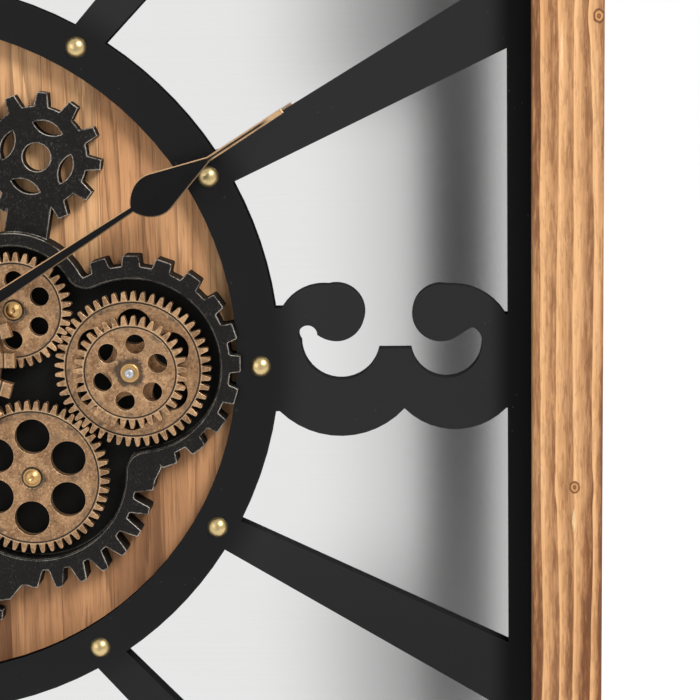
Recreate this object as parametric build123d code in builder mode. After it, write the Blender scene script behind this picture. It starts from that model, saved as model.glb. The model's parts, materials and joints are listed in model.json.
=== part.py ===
from build123d import *
import os
from math import asin, atan2, cos, degrees, hypot, radians, sin

# Portrait wall clock with a turning gear train in front of its dial.
# X runs to the right, Z up and -Y to the viewer. The origin is on the dial axis, in the wall plane.
# A level is a distance in front of the wall. All lengths are in millimetres, all angles in degrees.

# Wood frame: mitred rails with a lip in front and a rebate behind it
frame_width = 600
frame_height = 740
frame_depth = 52
rail_width = 30
lip_depth = 10
rebate_width = 6
rail_arris = 1.2
panel_play = 0.5

# Battens behind the panels, and the back that closes the frame
batten_width = 15
back_thickness = 3
access_width = 310
access_height = 120
access_centre_height = -8
back_screw_share = 1 / 3

# Steel corner braces let into the back of the rails
brace_leg = 60
brace_width = 14
brace_thickness = 2
brace_play = 0.2
brace_screw_steps = (22, 46)

# Keyhole hangers let into the top rail
hanger_width = 44
hanger_height = 20
hanger_thickness = 2
hanger_offset_share = 0.3
hanger_hole_radius = 5
hanger_slot_width = 5
hanger_slot_rise = 9
hanger_screw_offset = 17
hanger_pocket_depth = 10
hanger_pocket_margin = 1.5

# Countersunk wood screws for braces, hangers and back
screw_head_radius = 3.2
screw_head_height = 1.6
screw_shank_radius = 1.5
screw_length = 14
screw_play = 0.05

# Dial plate, brushed panel and wood disc
plate_thickness = 4
panel_thickness = 4
panel_setback = 6.5
disc_thickness = 9
disc_inset = 1.8
border_width = 10
ring_outer_radius = 161.3
ring_width = 18
bar_base_width = 14.8
side_bar_angle = 30
side_bar_end_height = 145
side_bar_end_width = 31.5
corner_bar_angle = 58.5
corner_bar_along_top = 14
corner_bar_down_side = 21

# Dome studs that hold the ring on the disc: at twelve and six, and at these angles on each side
side_stud_angles = (59.4, 30, -2, -30, -59)
stud_inset = 7.8
stud_radius = 4.6
stud_height = 3.2
stud_shank_radius = 1.2
stud_shank_length = 14
stud_play = 0.05

# Gear train
gear_module = 1.35
gear_addendum = 0.93
gear_tooth_height = 4.0
gear_thickness = 4
gear_recess = 1
tooth_root_half_width = 1.55
tooth_tip_half_width = 0.8
tooth_overlap = 1
groove_width = 0.7
groove_depth = 0.5
groove_inset = 0.75
centre_teeth = 40
upper_teeth = 36
side_teeth = 49
lower_teeth = 49
front_teeth = 35
upper_direction = 23.2
side_direction = -27.2
lower_direction = -133.9
side_phase = 0
front_phase = 3
gear_running_fit = 0.05
gear_end_play = 0.3
gear_seat_depth = 1

# Holes in the gears: radius, circle and first angle
upper_holes = (4.2, 13, 27)
side_holes = (7.75, 18.9, 27)
lower_holes = (7.75, 18.3, 27.7)
front_holes = (4.25, 12.6, 18.3)
cog_holes = (7, 27, 0)
hole_count = 6

# Centre cog in front of the gears
cog_teeth = 22
cog_tip_radius = 48
cog_root_radius = 41.8
cog_tooth_width = 6.6
cog_thickness = 4
cog_chamfer = 0.5
cog_gap = 1.9
cog_first_tooth = -1

# Moulded tray that carries the gears
tray_height = 11.5
tray_floor = 3
tray_chamfer = 0.6
tray_ring_gap = 0.4
upper_pocket_gap = 2.6
upper_rim_width = 5.8
side_pocket_gap = 3.8
side_pocket_shift = (0.3, 1.6)
side_rim_width = 4.9
side_rim_shift = (-0.3, 2.4)
lower_pocket_gap = 6.3
lower_pocket_shift = (1.3, 3.6)
lower_rim_width = 1.8
lower_rim_shift = (3.5, 0.5)
pocket_wall = 4
centre_pocket_radius = 41
centre_rim_width = 6
pocket_corner_radius = 9
tray_corner_radius = 4
side_rim_teeth = 11
side_rim_tooth_widths = (8.2, 7)
side_rim_tooth_height = 4.5
side_rim_tooth_range = (-71.1, 106.4)
lower_rim_teeth = 8
lower_rim_tooth_widths = (7, 3.2)
lower_rim_tooth_height = 8
lower_rim_tooth_range = (-95.1, -5.1)
rim_tooth_round = 0.8
tray_web = ((109.4, -49.4), (106.5, -55), (105.5, -59))
tray_low_web = ((51.4, -102.9), (47.8, -102.1), (46, -102.1), (40.4, -108.5), (35.9, -109), (22, -92))
gear_boss_radius = 6
tray_screw_length = 15
tray_screw_head_height = 1.8
tray_screws_low = (100, -52.5)
tray_screws_high = (53.4, 57)

# Ornamental cogs moulded on the tray
ornament_height = 7
ornament_teeth = 12
ornament_tip_radius = 27.8
ornament_root_radius = 21.8
ornament_tooth_widths = (6.6, 4.3)
ornament_hole_radius = 6.1
ornament_leaf_length = 13.4
ornament_leaf_width = 5.6
ornament_leaf_radius = 13.4
ornament_leaf_count = 4
ornament_leaf_first = -23
ornament_first_tooth = -7.5
ornament_stem_width = 18.6
ornament_side_centre = (59.2, 85.8)
ornament_low_centre = (8.2, -113.5)

# Pins, bush and shafts of the gears
pin_radius = 2.5
pin_head_radius = 3.9
pin_step_height = 0.8
pin_dome_radius = 3.3
pin_dome_height = 1.6
pin_dimple_radii = (0.5, 1.5)
pin_dimple_depth = 0.8
pin_seat_margin = 1
shaft_radius = 2
shaft_end = 3.4
shaft_chamfer = 0.4
centre_mark_radii = (0.2, 0.9)
centre_mark_depth = 0.8
shaft_hole_play = 0.5
axle_collar_radius = 4
axle_collar_height = 2
bush_radius = 4.2
bush_collar_radius = 7
bush_end = 1.2
bush_round = 0.8
front_gear_gap = 4
front_gear_thickness = 3.5
press_play = 0.02
axle_seat = 7

# Gear motor behind the disc
motor_width = 61
motor_height = 52
motor_depth = 17
motor_wall = 2
motor_cover_thickness = 1.6
motor_shaft_drop = 8
motor_shaft_reach = 11

# Battery box of the motor
cell_radius = 7.1
cell_length = 50
cell_gap = 1.2
cell_play = 0.3
contact_thickness = 0.5
contact_size = 11
box_wall = 2
box_depth = 17
box_centre = (-92, 30)
lead_radius = 1.2
lead_drop = 18
lead_bend = 9
lead_gap = 0.1

# Quartz movement, its arbors and hands
movement_width = 56
movement_depth = 18
movement_wall = 2
movement_cover_thickness = 1.5
movement_cell_drop = 17.5
neck_radius = 4.75
neck_play = 0.25
neck_flange_radius = 8
neck_flange_height = 2
nut_radius = 8
fixing_nut_height = 3
front_nut_height = 2.6
sleeve_radius = 7
pipe_radius = 2.5
pipe_bore_radius = 1.65
arbor_radius = 1.6
arbor_inset = 9
knob_radius = 6.5
knob_height = 3
knob_shaft_radius = 1.5
knob_place = (14, 12)
knob_shaft_length = 8

# Hands
hand_thickness = 1.5
hand_chamfer = 0.45
hand_hub_radius = 9
hand_hub_gap = 3
hand_spacing = 3
hand_lap = 1
minute_hand_angle = 32.3
minute_hand_length = 197.5
minute_spade = (122, 160.5)
minute_tail = 38
hour_hand_angle = 145.1
hour_hand_length = 138
hour_spade = (72, 108)
hour_tail = 30
needle_half_width = 1.1
shaft_half_widths = (3.7, 1.3)
cap_radius = 5
cap_height = 4.5
cap_wall = 1.5

# Spade of a hand: half width, and points as shares of its length and of that half width
spade_half_width = 8.3
spade_shoulder = (0.052, 0.53)
spade_swell = (0.195, 1)
spade_taper = (0.377, 1.03)

# Levels, from the wall to the viewer
plate_front = frame_depth - lip_depth
plate_back = plate_front - plate_thickness
panel_back = plate_back - panel_thickness
disc_front = panel_back
disc_back = disc_front - disc_thickness
pocket_floor = disc_front + tray_floor
tray_front = disc_front + tray_height
gear_back = tray_front - gear_recess - gear_thickness
gear_front = gear_back + gear_thickness
cog_back = gear_front + cog_gap
cog_front = cog_back + cog_thickness
front_gear_back = gear_front + front_gear_gap
front_gear_front = front_gear_back + front_gear_thickness
bush_front = front_gear_front + bush_end
shaft_front = front_gear_front + shaft_end
nut_back = cog_front + gear_end_play
neck_front = nut_back + front_nut_height
hour_hand_back = max(neck_front, shaft_front) + hand_hub_gap
minute_hand_back = hour_hand_back + hand_thickness + hand_spacing
cap_back = minute_hand_back + hand_thickness
movement_back = disc_back - movement_depth
motor_back = disc_back - motor_depth

# Half sizes of the frame's openings
rebate_half_width = frame_width / 2 - rail_width + rebate_width
rebate_half_height = frame_height / 2 - rail_width + rebate_width
border_half_width = frame_width / 2 - rail_width - border_width
border_half_height = frame_height / 2 - rail_width - border_width

# Radii of the ring and of what lies behind it
ring_inner_radius = ring_outer_radius - ring_width
disc_radius = ring_outer_radius - disc_inset
stud_circle_radius = ring_outer_radius - stud_inset

base_align = (Align.CENTER, Align.CENTER, Align.MIN)
top_align = (Align.CENTER, Align.CENTER, Align.MAX)

os.makedirs("parts", exist_ok=True)


def front_plane(level, centre=(0, 0), turn=0):
    """Plane that faces the viewer, with its local X and Y along the clock's X and Z."""
    across = (cos(radians(turn)), 0, sin(radians(turn)))
    return Plane(origin=(centre[0], -level, centre[1]), x_dir=across, z_dir=(0, -1, 0))


def finish(builder, name):
    """Label a piece and write it as its own file."""
    builder.part.label = name
    export_step(builder.part, f"parts/{name}.step")


def polar(radius, angle, centre=(0, 0)):
    """Point at a radius and angle from a centre."""
    return (centre[0] + radius * cos(radians(angle)), centre[1] + radius * sin(radians(angle)))


def mirrored(points):
    """Points with their copies on the left of the dial axis."""
    return [(side * x, z) for x, z in points for side in (1, -1)]


def dome(radius, height):
    """Spherical cap that stands on the current location."""
    sphere_radius = (radius**2 + height**2) / (2 * height)
    rise = sphere_radius - height
    with Locations((0, 0, -rise)):
        Sphere(sphere_radius, arc_size1=degrees(asin(rise / sphere_radius)), align=None)


def screw_group(name, level, points, length):
    """Countersunk wood screws driven from behind, as one node."""
    with BuildPart(front_plane(level)) as screws:
        with Locations(*points):
            Cone(screw_head_radius, screw_shank_radius, screw_head_height, align=base_align)
            Cylinder(screw_shank_radius, length, align=base_align)
    finish(screws, name)


def screw_holes(level, points, length):
    """Countersunk holes for a screw group, cut in the piece that is being built."""
    with Locations(front_plane(level)):
        with Locations(*points):
            Cone(
                screw_head_radius + screw_play,
                screw_shank_radius + screw_play,
                screw_head_height,
                align=base_align,
                mode=Mode.SUBTRACT,
            )
            Cylinder(screw_shank_radius + screw_play, length, align=base_align, mode=Mode.SUBTRACT)


# Frame
def frame_corners(inset):
    """Corners of a rectangle inside the frame, from the lower left one round."""
    x = frame_width / 2 - inset
    z = frame_height / 2 - inset
    return [(-x, -z), (x, -z), (x, z), (-x, z)]


brace_x = frame_width / 2 - (rail_width - rebate_width) / 2
brace_z = frame_height / 2 - (rail_width - rebate_width) / 2
brace_points = [
    point
    for side_x in (-1, 1)
    for side_z in (-1, 1)
    for step in brace_screw_steps
    for point in (
        (side_x * (brace_x - step), side_z * brace_z),
        (side_x * brace_x, side_z * (brace_z - step)),
    )
]


def brace_outline(play):
    """Angle plates in the four corners."""
    shift = (brace_leg - brace_width) / 2
    with BuildSketch() as outline:
        for side_x in (-1, 1):
            for side_z in (-1, 1):
                with Locations((side_x * (brace_x - shift), side_z * brace_z)):
                    Rectangle(brace_leg + 2 * play, brace_width + 2 * play)
                with Locations((side_x * brace_x, side_z * (brace_z - shift))):
                    Rectangle(brace_width + 2 * play, brace_leg + 2 * play)
    return outline.sketch


hanger_offset = hanger_offset_share * frame_width
hanger_level_z = frame_height / 2 - (rail_width - rebate_width) / 2
hanger_hole_z = hanger_level_z - (hanger_slot_rise - hanger_slot_width / 2) / 2
hanger_points = [
    (side * hanger_offset + step, hanger_level_z)
    for side in (-1, 1)
    for step in (-hanger_screw_offset, hanger_screw_offset)
]


def keyhole(margin):
    """Round hole with a slot that rises from it, centred on the hole."""
    with BuildSketch() as outline:
        Circle(hanger_hole_radius + margin)
        with Locations((0, hanger_slot_rise / 2)):
            Rectangle(hanger_slot_width + 2 * margin, hanger_slot_rise)
        with Locations((0, hanger_slot_rise)):
            Circle(hanger_slot_width / 2 + margin)
    return outline.sketch


rail_sections = (
    (0, plate_front, rail_width - rebate_width),
    (plate_front, lip_depth, rail_width),
)
rail_names = ("rail_bottom", "rail_right", "rail_top", "rail_left")
for index, name in enumerate(rail_names):
    following = (index + 1) % len(rail_names)
    run = Axis.X if name in ("rail_bottom", "rail_top") else Axis.Z
    with BuildPart() as rail:
        for level, height, width in rail_sections:
            outer = frame_corners(0)
            inner = frame_corners(width)
            with BuildSketch(front_plane(level)):
                with BuildLine():
                    Polyline(outer[index], outer[following], inner[following], inner[index], close=True)
                make_face()
            extrude(amount=height)
        fillet(rail.edges().group_by(Axis.Y)[0].filter_by(run), rail_arris)
        with BuildSketch(front_plane(0)):
            add(brace_outline(brace_play))
        extrude(amount=brace_thickness, mode=Mode.SUBTRACT)
        screw_holes(0, brace_points, screw_length)
        if name == "rail_top":
            with BuildSketch(front_plane(0)):
                with Locations(*[(side * hanger_offset, hanger_level_z) for side in (-1, 1)]):
                    Rectangle(hanger_width + 2 * brace_play, hanger_height + 2 * brace_play)
            extrude(amount=hanger_thickness, mode=Mode.SUBTRACT)
            with BuildSketch(front_plane(hanger_thickness)):
                with Locations(*[(side * hanger_offset, hanger_hole_z) for side in (-1, 1)]):
                    add(keyhole(hanger_pocket_margin))
            extrude(amount=hanger_pocket_depth, mode=Mode.SUBTRACT)
            screw_holes(0, hanger_points, screw_length)
    finish(rail, name)

with BuildPart() as corner_braces:
    with BuildSketch(front_plane(0)):
        add(brace_outline(0))
    extrude(amount=brace_thickness)
    screw_holes(0, brace_points, screw_length)
finish(corner_braces, "corner_braces")
screw_group("brace_screws", 0, brace_points, screw_length)

for name, side in (("hanger_left", -1), ("hanger_right", 1)):
    with BuildPart() as hanger:
        with BuildSketch(front_plane(0)):
            with Locations((side * hanger_offset, hanger_level_z)):
                Rectangle(hanger_width, hanger_height)
            with Locations((side * hanger_offset, hanger_hole_z)):
                add(keyhole(0), mode=Mode.SUBTRACT)
        extrude(amount=hanger_thickness)
        screw_holes(0, hanger_points, screw_length)
    finish(hanger, name)
screw_group("hanger_screws", 0, hanger_points, screw_length)

# Battens from the brushed panel to the back
batten_height = panel_back - back_thickness
batten_x = rebate_half_width - batten_width / 2
batten_z = rebate_half_height - batten_width / 2
short_batten = 2 * (rebate_half_width - batten_width)
battens = (
    ("batten_left", (-batten_x, 0), batten_width, 2 * rebate_half_height),
    ("batten_right", (batten_x, 0), batten_width, 2 * rebate_half_height),
    ("batten_top", (0, batten_z), short_batten, batten_width),
    ("batten_bottom", (0, -batten_z), short_batten, batten_width),
)
back_points = [
    point
    for side in (-1, 1)
    for step in (-1, 0, 1)
    for point in (
        (side * batten_x, step * back_screw_share * frame_height),
        (step * back_screw_share * frame_width, side * batten_z),
    )
]
for name, centre, width, height in battens:
    with BuildPart() as batten:
        with BuildSketch(front_plane(back_thickness, centre)):
            Rectangle(width, height)
        extrude(amount=batten_height)
        screw_holes(0, back_points, screw_length)
    finish(batten, name)

with BuildPart() as back_panel:
    with BuildSketch(front_plane(0)):
        Rectangle(2 * (rebate_half_width - panel_play), 2 * (rebate_half_height - panel_play))
        with Locations((0, access_centre_height)):
            Rectangle(access_width, access_height, mode=Mode.SUBTRACT)
    extrude(amount=back_thickness)
    screw_holes(0, back_points, screw_length)
finish(back_panel, "back_panel")
screw_group("back_screws", 0, back_points, screw_length)

stud_points = [
    polar(stud_circle_radius, 90),
    polar(stud_circle_radius, -90),
    *mirrored([polar(stud_circle_radius, angle) for angle in side_stud_angles]),
]
with BuildPart() as silver_panel:
    with BuildSketch(front_plane(panel_back)):
        Rectangle(2 * (rebate_half_width - panel_play), 2 * (rebate_half_height - panel_play))
        Circle(ring_inner_radius + panel_setback, mode=Mode.SUBTRACT)
        with Locations(*stud_points):
            Circle(stud_shank_radius + stud_play, mode=Mode.SUBTRACT)
    extrude(amount=panel_thickness)
finish(silver_panel, "silver_panel")

# Dial plate. Numerals are drawn in units of the way from ring to border, with (out, right) points.
side_reach = border_half_width - ring_outer_radius
upright_reach = border_half_height - ring_outer_radius


def bar_outline(angle, ends):
    """Tapered bar from the ring to two points on the border, in the upper right quarter."""
    middle = (ring_inner_radius + ring_outer_radius) / 2
    across = polar(bar_base_width / 2, angle + 90)
    points = []
    for radius, side in ((middle, 1), (ring_outer_radius, 1)):
        x, z = polar(radius, angle)
        points.append((x + side * across[0], z + side * across[1]))
    points.extend(ends)
    for radius, side in ((ring_outer_radius, -1), (middle, -1)):
        x, z = polar(radius, angle)
        points.append((x + side * across[0], z + side * across[1]))
    with BuildSketch() as outline:
        with BuildLine():
            Polyline(*points, close=True)
        make_face()
    return outline.sketch


def side_bar():
    """Bar at two o'clock, which ends on the side of the border."""
    x = border_half_width
    low = side_bar_end_height - side_bar_end_width / 2
    high = side_bar_end_height + side_bar_end_width / 2
    return bar_outline(
        side_bar_angle, [(x, high), (x + border_width, high), (x + border_width, low), (x, low)]
    )


def corner_bar():
    """Bar at one o'clock, which ends in the corner of the border."""
    x = border_half_width
    z = border_half_height
    top = (x - corner_bar_along_top, z)
    side = (x, z - corner_bar_down_side)
    return bar_outline(corner_bar_angle, [top, (x, z), side])


def numeral_three():
    """Numeral with two curls, lying on its side with its top to the border."""

    def at(out, up):
        return (ring_outer_radius + out * side_reach, up * side_reach)

    with BuildSketch() as outline:
        with BuildLine():
            Polyline(at(0, -0.255), at(-0.06, -0.255), at(-0.06, 0.203), at(0.017, 0.203))
            ThreePointArc(at(0.017, 0.203), at(0.103, 0.28), at(0.222, 0.301))
            ThreePointArc(at(0.222, 0.301), at(0.379, 0.176), at(0.272, 0.055))
            ThreePointArc(at(0.272, 0.055), at(0.22, 0.059), at(0.171, 0.083))
            ThreePointArc(at(0.171, 0.083), at(0.137, 0.124), at(0.099, 0.056))
            ThreePointArc(at(0.099, 0.056), at(0.268, -0.117), at(0.438, 0.02))
            Line(at(0.438, 0.02), at(0.579, 0.02))
            ThreePointArc(at(0.579, 0.02), at(0.721, -0.111), at(0.887, 0.043))
            ThreePointArc(at(0.887, 0.043), at(0.877, 0.087), at(0.845, 0.113))
            Line(at(0.845, 0.113), at(0.782, 0.074))
            ThreePointArc(at(0.782, 0.074), at(0.585, 0.18), at(0.739, 0.296))
            ThreePointArc(at(0.739, 0.296), at(0.887, 0.265), at(0.989, 0.169))
            Polyline(at(0.989, 0.169), at(1.05, 0.169), at(1.05, -0.245), at(0.992, -0.245))
            ThreePointArc(at(0.992, -0.245), at(0.778, -0.339), at(0.548, -0.245))
            ThreePointArc(at(0.548, -0.245), at(0.261, -0.367), at(0, -0.255))
        make_face()
    return outline.sketch


def numeral_nine():
    """Ring with a curled tail, lying on its side with its top to the border."""

    def at(out, right):
        return (-ring_outer_radius - out * side_reach, right * side_reach)

    stroke = 0.2 * side_reach
    with BuildSketch() as outline:
        with Locations(at(0.67, 0)):
            Circle(0.25 * side_reach + stroke / 2)
        with BuildLine():
            ThreePointArc(at(0.67, 0.25), at(0.28, 0.2), at(0.08, -0.06))
        trace(line_width=stroke)
        with Locations(at(0.13, -0.14)):
            Circle(0.13 * side_reach)
        with Locations(at(0.67, 0)):
            Circle(0.25 * side_reach - stroke / 2, mode=Mode.SUBTRACT)
    return outline.sketch


def numeral_six():
    """Ring with a curled stem, upside down with its top to the border."""

    def at(out, right):
        return (-right * upright_reach, -ring_outer_radius - out * upright_reach)

    stroke = 0.15 * upright_reach
    with BuildSketch() as outline:
        with Locations(at(0.26, 0)):
            Circle(0.19 * upright_reach + stroke / 2)
        with BuildLine():
            ThreePointArc(at(0.26, -0.19), at(0.72, -0.14), at(0.95, 0.1))
        trace(line_width=stroke)
        with Locations(at(0.91, 0.15)):
            Circle(0.11 * upright_reach)
        with Locations(at(0.26, 0)):
            Circle(0.19 * upright_reach - stroke / 2, mode=Mode.SUBTRACT)
    return outline.sketch


def numeral_twelve():
    """Upright numerals between the ring and the top of the border."""

    def at(out, right):
        return (right * upright_reach, ring_outer_radius + out * upright_reach)

    with BuildSketch() as outline:
        with BuildLine():
            Line(at(-0.06, -0.22), at(1.04, -0.22))
        trace(line_width=0.15 * upright_reach)
        with BuildLine():
            Line(at(0.92, -0.22), at(0.72, -0.38))
        trace(line_width=0.1 * upright_reach)
        with BuildLine():
            ThreePointArc(at(0.75, 0.06), at(0.95, 0.23), at(0.75, 0.4))
            ThreePointArc(at(0.75, 0.4), at(0.44, 0.28), at(0.07, 0.09))
        trace(line_width=0.14 * upright_reach)
        with Locations(at(0.74, 0.06)):
            Circle(0.09 * upright_reach)
        with BuildLine():
            Line(at(0.07, 0.03), at(0.07, 0.44))
        trace(line_width=0.14 * upright_reach)
    return outline.sketch


with BuildPart() as dial_plate:
    with BuildSketch(front_plane(plate_back)):
        Rectangle(2 * (rebate_half_width - panel_play), 2 * (rebate_half_height - panel_play))
        Rectangle(2 * border_half_width, 2 * border_half_height, mode=Mode.SUBTRACT)
        for outline in (side_bar(), corner_bar()):
            for flip_x in (1, -1):
                for flip_z in (1, -1):
                    bar = outline
                    if flip_x < 0:
                        bar = bar.mirror(Plane.YZ)
                    if flip_z < 0:
                        bar = bar.mirror(Plane.XZ)
                    add(bar)
        for numeral in (numeral_three(), numeral_nine(), numeral_six(), numeral_twelve()):
            add(numeral)
        Circle(ring_outer_radius)
        Circle(ring_inner_radius, mode=Mode.SUBTRACT)
        with Locations(*stud_points):
            Circle(stud_shank_radius + stud_play, mode=Mode.SUBTRACT)
    extrude(amount=plate_thickness)
finish(dial_plate, "dial_plate")

with BuildPart(front_plane(plate_front)) as dial_studs:
    with Locations(*stud_points):
        dome(stud_radius, stud_height)
        Cylinder(stud_shank_radius, stud_shank_length, align=top_align)
finish(dial_studs, "dial_studs")

# Places of the gears, from the centre wheel outwards, and the phases that put them in mesh
gear_centre = (0, 0)


def pitch_radius(teeth):
    return gear_module * teeth / 2


def tip_radius(teeth):
    return pitch_radius(teeth) + gear_addendum


def root_radius(teeth):
    return tip_radius(teeth) - gear_tooth_height


def meshed_phase(teeth, centre, other_teeth, other_centre, other_phase):
    """Angle of a tooth on a gear that meshes with another gear at rest."""
    way = degrees(atan2(centre[1] - other_centre[1], centre[0] - other_centre[0]))
    share = (way - other_phase) * other_teeth / 360
    return way + 180 - (0.5 - share) * 360 / teeth


upper_centre = polar(pitch_radius(centre_teeth) + pitch_radius(upper_teeth), upper_direction)
side_centre = polar(pitch_radius(upper_teeth) + pitch_radius(side_teeth), side_direction, upper_centre)
lower_centre = polar(pitch_radius(side_teeth) + pitch_radius(lower_teeth), lower_direction, side_centre)


def left_of(centre):
    return (-centre[0], centre[1])


def shifted(centre, shift):
    return (centre[0] + shift[0], centre[1] + shift[1])


upper_phase = meshed_phase(upper_teeth, upper_centre, side_teeth, side_centre, side_phase)
lower_phase = meshed_phase(lower_teeth, lower_centre, side_teeth, side_centre, side_phase)
centre_phase = meshed_phase(centre_teeth, gear_centre, upper_teeth, upper_centre, upper_phase)
left_upper_phase = meshed_phase(
    upper_teeth, left_of(upper_centre), centre_teeth, gear_centre, centre_phase
)
left_side_phase = meshed_phase(
    side_teeth, left_of(side_centre), upper_teeth, left_of(upper_centre), left_upper_phase
)
left_lower_phase = meshed_phase(
    lower_teeth, left_of(lower_centre), side_teeth, left_of(side_centre), left_side_phase
)
idler_centres = mirrored([upper_centre, lower_centre])
side_centres = mirrored([side_centre])
tray_screw_points = mirrored([tray_screws_low, tray_screws_high])

# Wood disc behind the ring
with BuildPart() as wood_disc:
    with BuildSketch(front_plane(disc_back)):
        Circle(disc_radius)
        Circle(neck_radius + neck_play, mode=Mode.SUBTRACT)
        with Locations(*side_centres):
            Circle(shaft_radius + shaft_hole_play, mode=Mode.SUBTRACT)
        with Locations(*tray_screw_points):
            Circle(screw_shank_radius + screw_play, mode=Mode.SUBTRACT)
    extrude(amount=disc_thickness)
    with BuildSketch(front_plane(plate_front - stud_shank_length)):
        with Locations(*stud_points):
            Circle(stud_shank_radius + stud_play)
    extrude(amount=stud_shank_length, mode=Mode.SUBTRACT)
    with BuildSketch(front_plane(disc_front - axle_seat)):
        with Locations(*idler_centres):
            Circle(pin_radius + press_play)
    extrude(amount=axle_seat, mode=Mode.SUBTRACT)
finish(wood_disc, "wood_disc")

# Moulded tray
upper_pocket = tip_radius(upper_teeth) + upper_pocket_gap
side_pocket = tip_radius(side_teeth) + side_pocket_gap
lower_pocket = tip_radius(lower_teeth) + lower_pocket_gap
lobes = (
    (upper_centre, upper_pocket, upper_rim_width),
    (shifted(side_centre, side_pocket_shift), side_pocket, pocket_wall),
    (shifted(lower_centre, lower_pocket_shift), lower_pocket, pocket_wall),
)
lobe_centres = [centre for centre, pocket, rim in lobes]
side_rim_centre = shifted(side_centre, side_rim_shift)
lower_rim_centre = shifted(lower_centre, lower_rim_shift)
toothed_rims = (
    (
        side_rim_centre,
        side_pocket + side_rim_width,
        side_rim_tooth_height,
        side_rim_tooth_widths,
        side_rim_teeth,
        side_rim_tooth_range,
    ),
    (
        lower_rim_centre,
        lower_pocket + lower_rim_width,
        lower_rim_tooth_height,
        lower_rim_tooth_widths,
        lower_rim_teeth,
        lower_rim_tooth_range,
    ),
)


def lobe_sketch(with_rim, corner_radius):
    """Rounded outline of the lobes round the gears, with or without the rim."""
    with BuildSketch() as outline:
        Circle(centre_pocket_radius + (centre_rim_width if with_rim else 0))
        for centre, pocket, rim in lobes:
            with Locations(*mirrored([centre])):
                Circle(pocket + (rim if with_rim else 0))
        for side in (1, -1):
            with BuildLine():
                Polyline(*[(side * x, z) for x, z in (gear_centre, *lobe_centres)], close=True)
            make_face()
        fillet(outline.vertices(), corner_radius)
    return outline.sketch


def tapered_tooth(root, tip, widths):
    """Flat-topped tooth along local X, sunk a little into its rim."""
    root_half, tip_half = [width / 2 for width in widths]
    with BuildSketch() as outline:
        with BuildLine():
            Polyline(
                (root - tooth_overlap, -root_half),
                (tip, -tip_half),
                (tip, tip_half),
                (root - tooth_overlap, root_half),
                close=True,
            )
        make_face()
    return outline.sketch


def toothed_rim(centre, root, height, widths, count, tooth_range):
    """Rim of a lobe, with tapered teeth on part of it."""
    first, last = tooth_range
    tooth = tapered_tooth(root, root + height, widths)
    with BuildSketch() as outline:
        with Locations(Location((*centre, 0), (0, 0, 180))):
            Circle(root)
        with Locations(centre):
            with PolarLocations(0, count, start_angle=first, angular_range=last - first, endpoint=True):
                add(tooth)
        corners = outline.vertices().filter_by(lambda corner: corner.X > centre[0] - root + tooth_overlap)
        fillet(corners, rim_tooth_round)
    return outline.sketch


def web_sketch(start, edge, end):
    """Web that fills the notch between two lobes of the tray, or a lobe and a cog."""
    with BuildSketch() as outline:
        with BuildLine():
            Polyline(start, *edge, end, close=True)
        make_face()
    return outline.sketch


def leaf():
    """Pointed oval hole of an ornamental cog."""
    half = ornament_leaf_length / 2
    with BuildSketch() as outline:
        with BuildLine():
            ThreePointArc((0, -half), (ornament_leaf_width / 2, 0), (0, half))
            ThreePointArc((0, half), (-ornament_leaf_width / 2, 0), (0, -half))
        make_face()
    return outline.sketch


def ornament(centre, joined_to, mirror_teeth):
    """Cog with leaf holes, on a stem that runs towards a point of the tray."""
    reach = hypot(joined_to[0] - centre[0], joined_to[1] - centre[1])
    way = degrees(atan2(joined_to[1] - centre[1], joined_to[0] - centre[0]))
    sign = -1 if mirror_teeth else 1
    start = 180 if mirror_teeth else 0
    with BuildSketch() as outline:
        with Locations(centre):
            Circle(ornament_root_radius)
            with PolarLocations(0, ornament_teeth, start_angle=start + sign * ornament_first_tooth):
                add(ornament_tooth)
        with Locations(Location((*centre, 0), (0, 0, way))):
            Rectangle(reach, ornament_stem_width, align=(Align.MIN, Align.CENTER))
        with Locations(centre):
            Circle(ornament_hole_radius, mode=Mode.SUBTRACT)
            with PolarLocations(
                ornament_leaf_radius,
                ornament_leaf_count,
                start_angle=start + sign * ornament_leaf_first,
            ):
                add(leaf(), mode=Mode.SUBTRACT)
    return outline.sketch


ornament_tooth = tapered_tooth(ornament_root_radius, ornament_tip_radius, ornament_tooth_widths)
ornaments = (
    ornament(ornament_side_centre, upper_centre, False),
    ornament(left_of(ornament_side_centre), left_of(upper_centre), True),
    ornament(ornament_low_centre, gear_centre, False),
)

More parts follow.
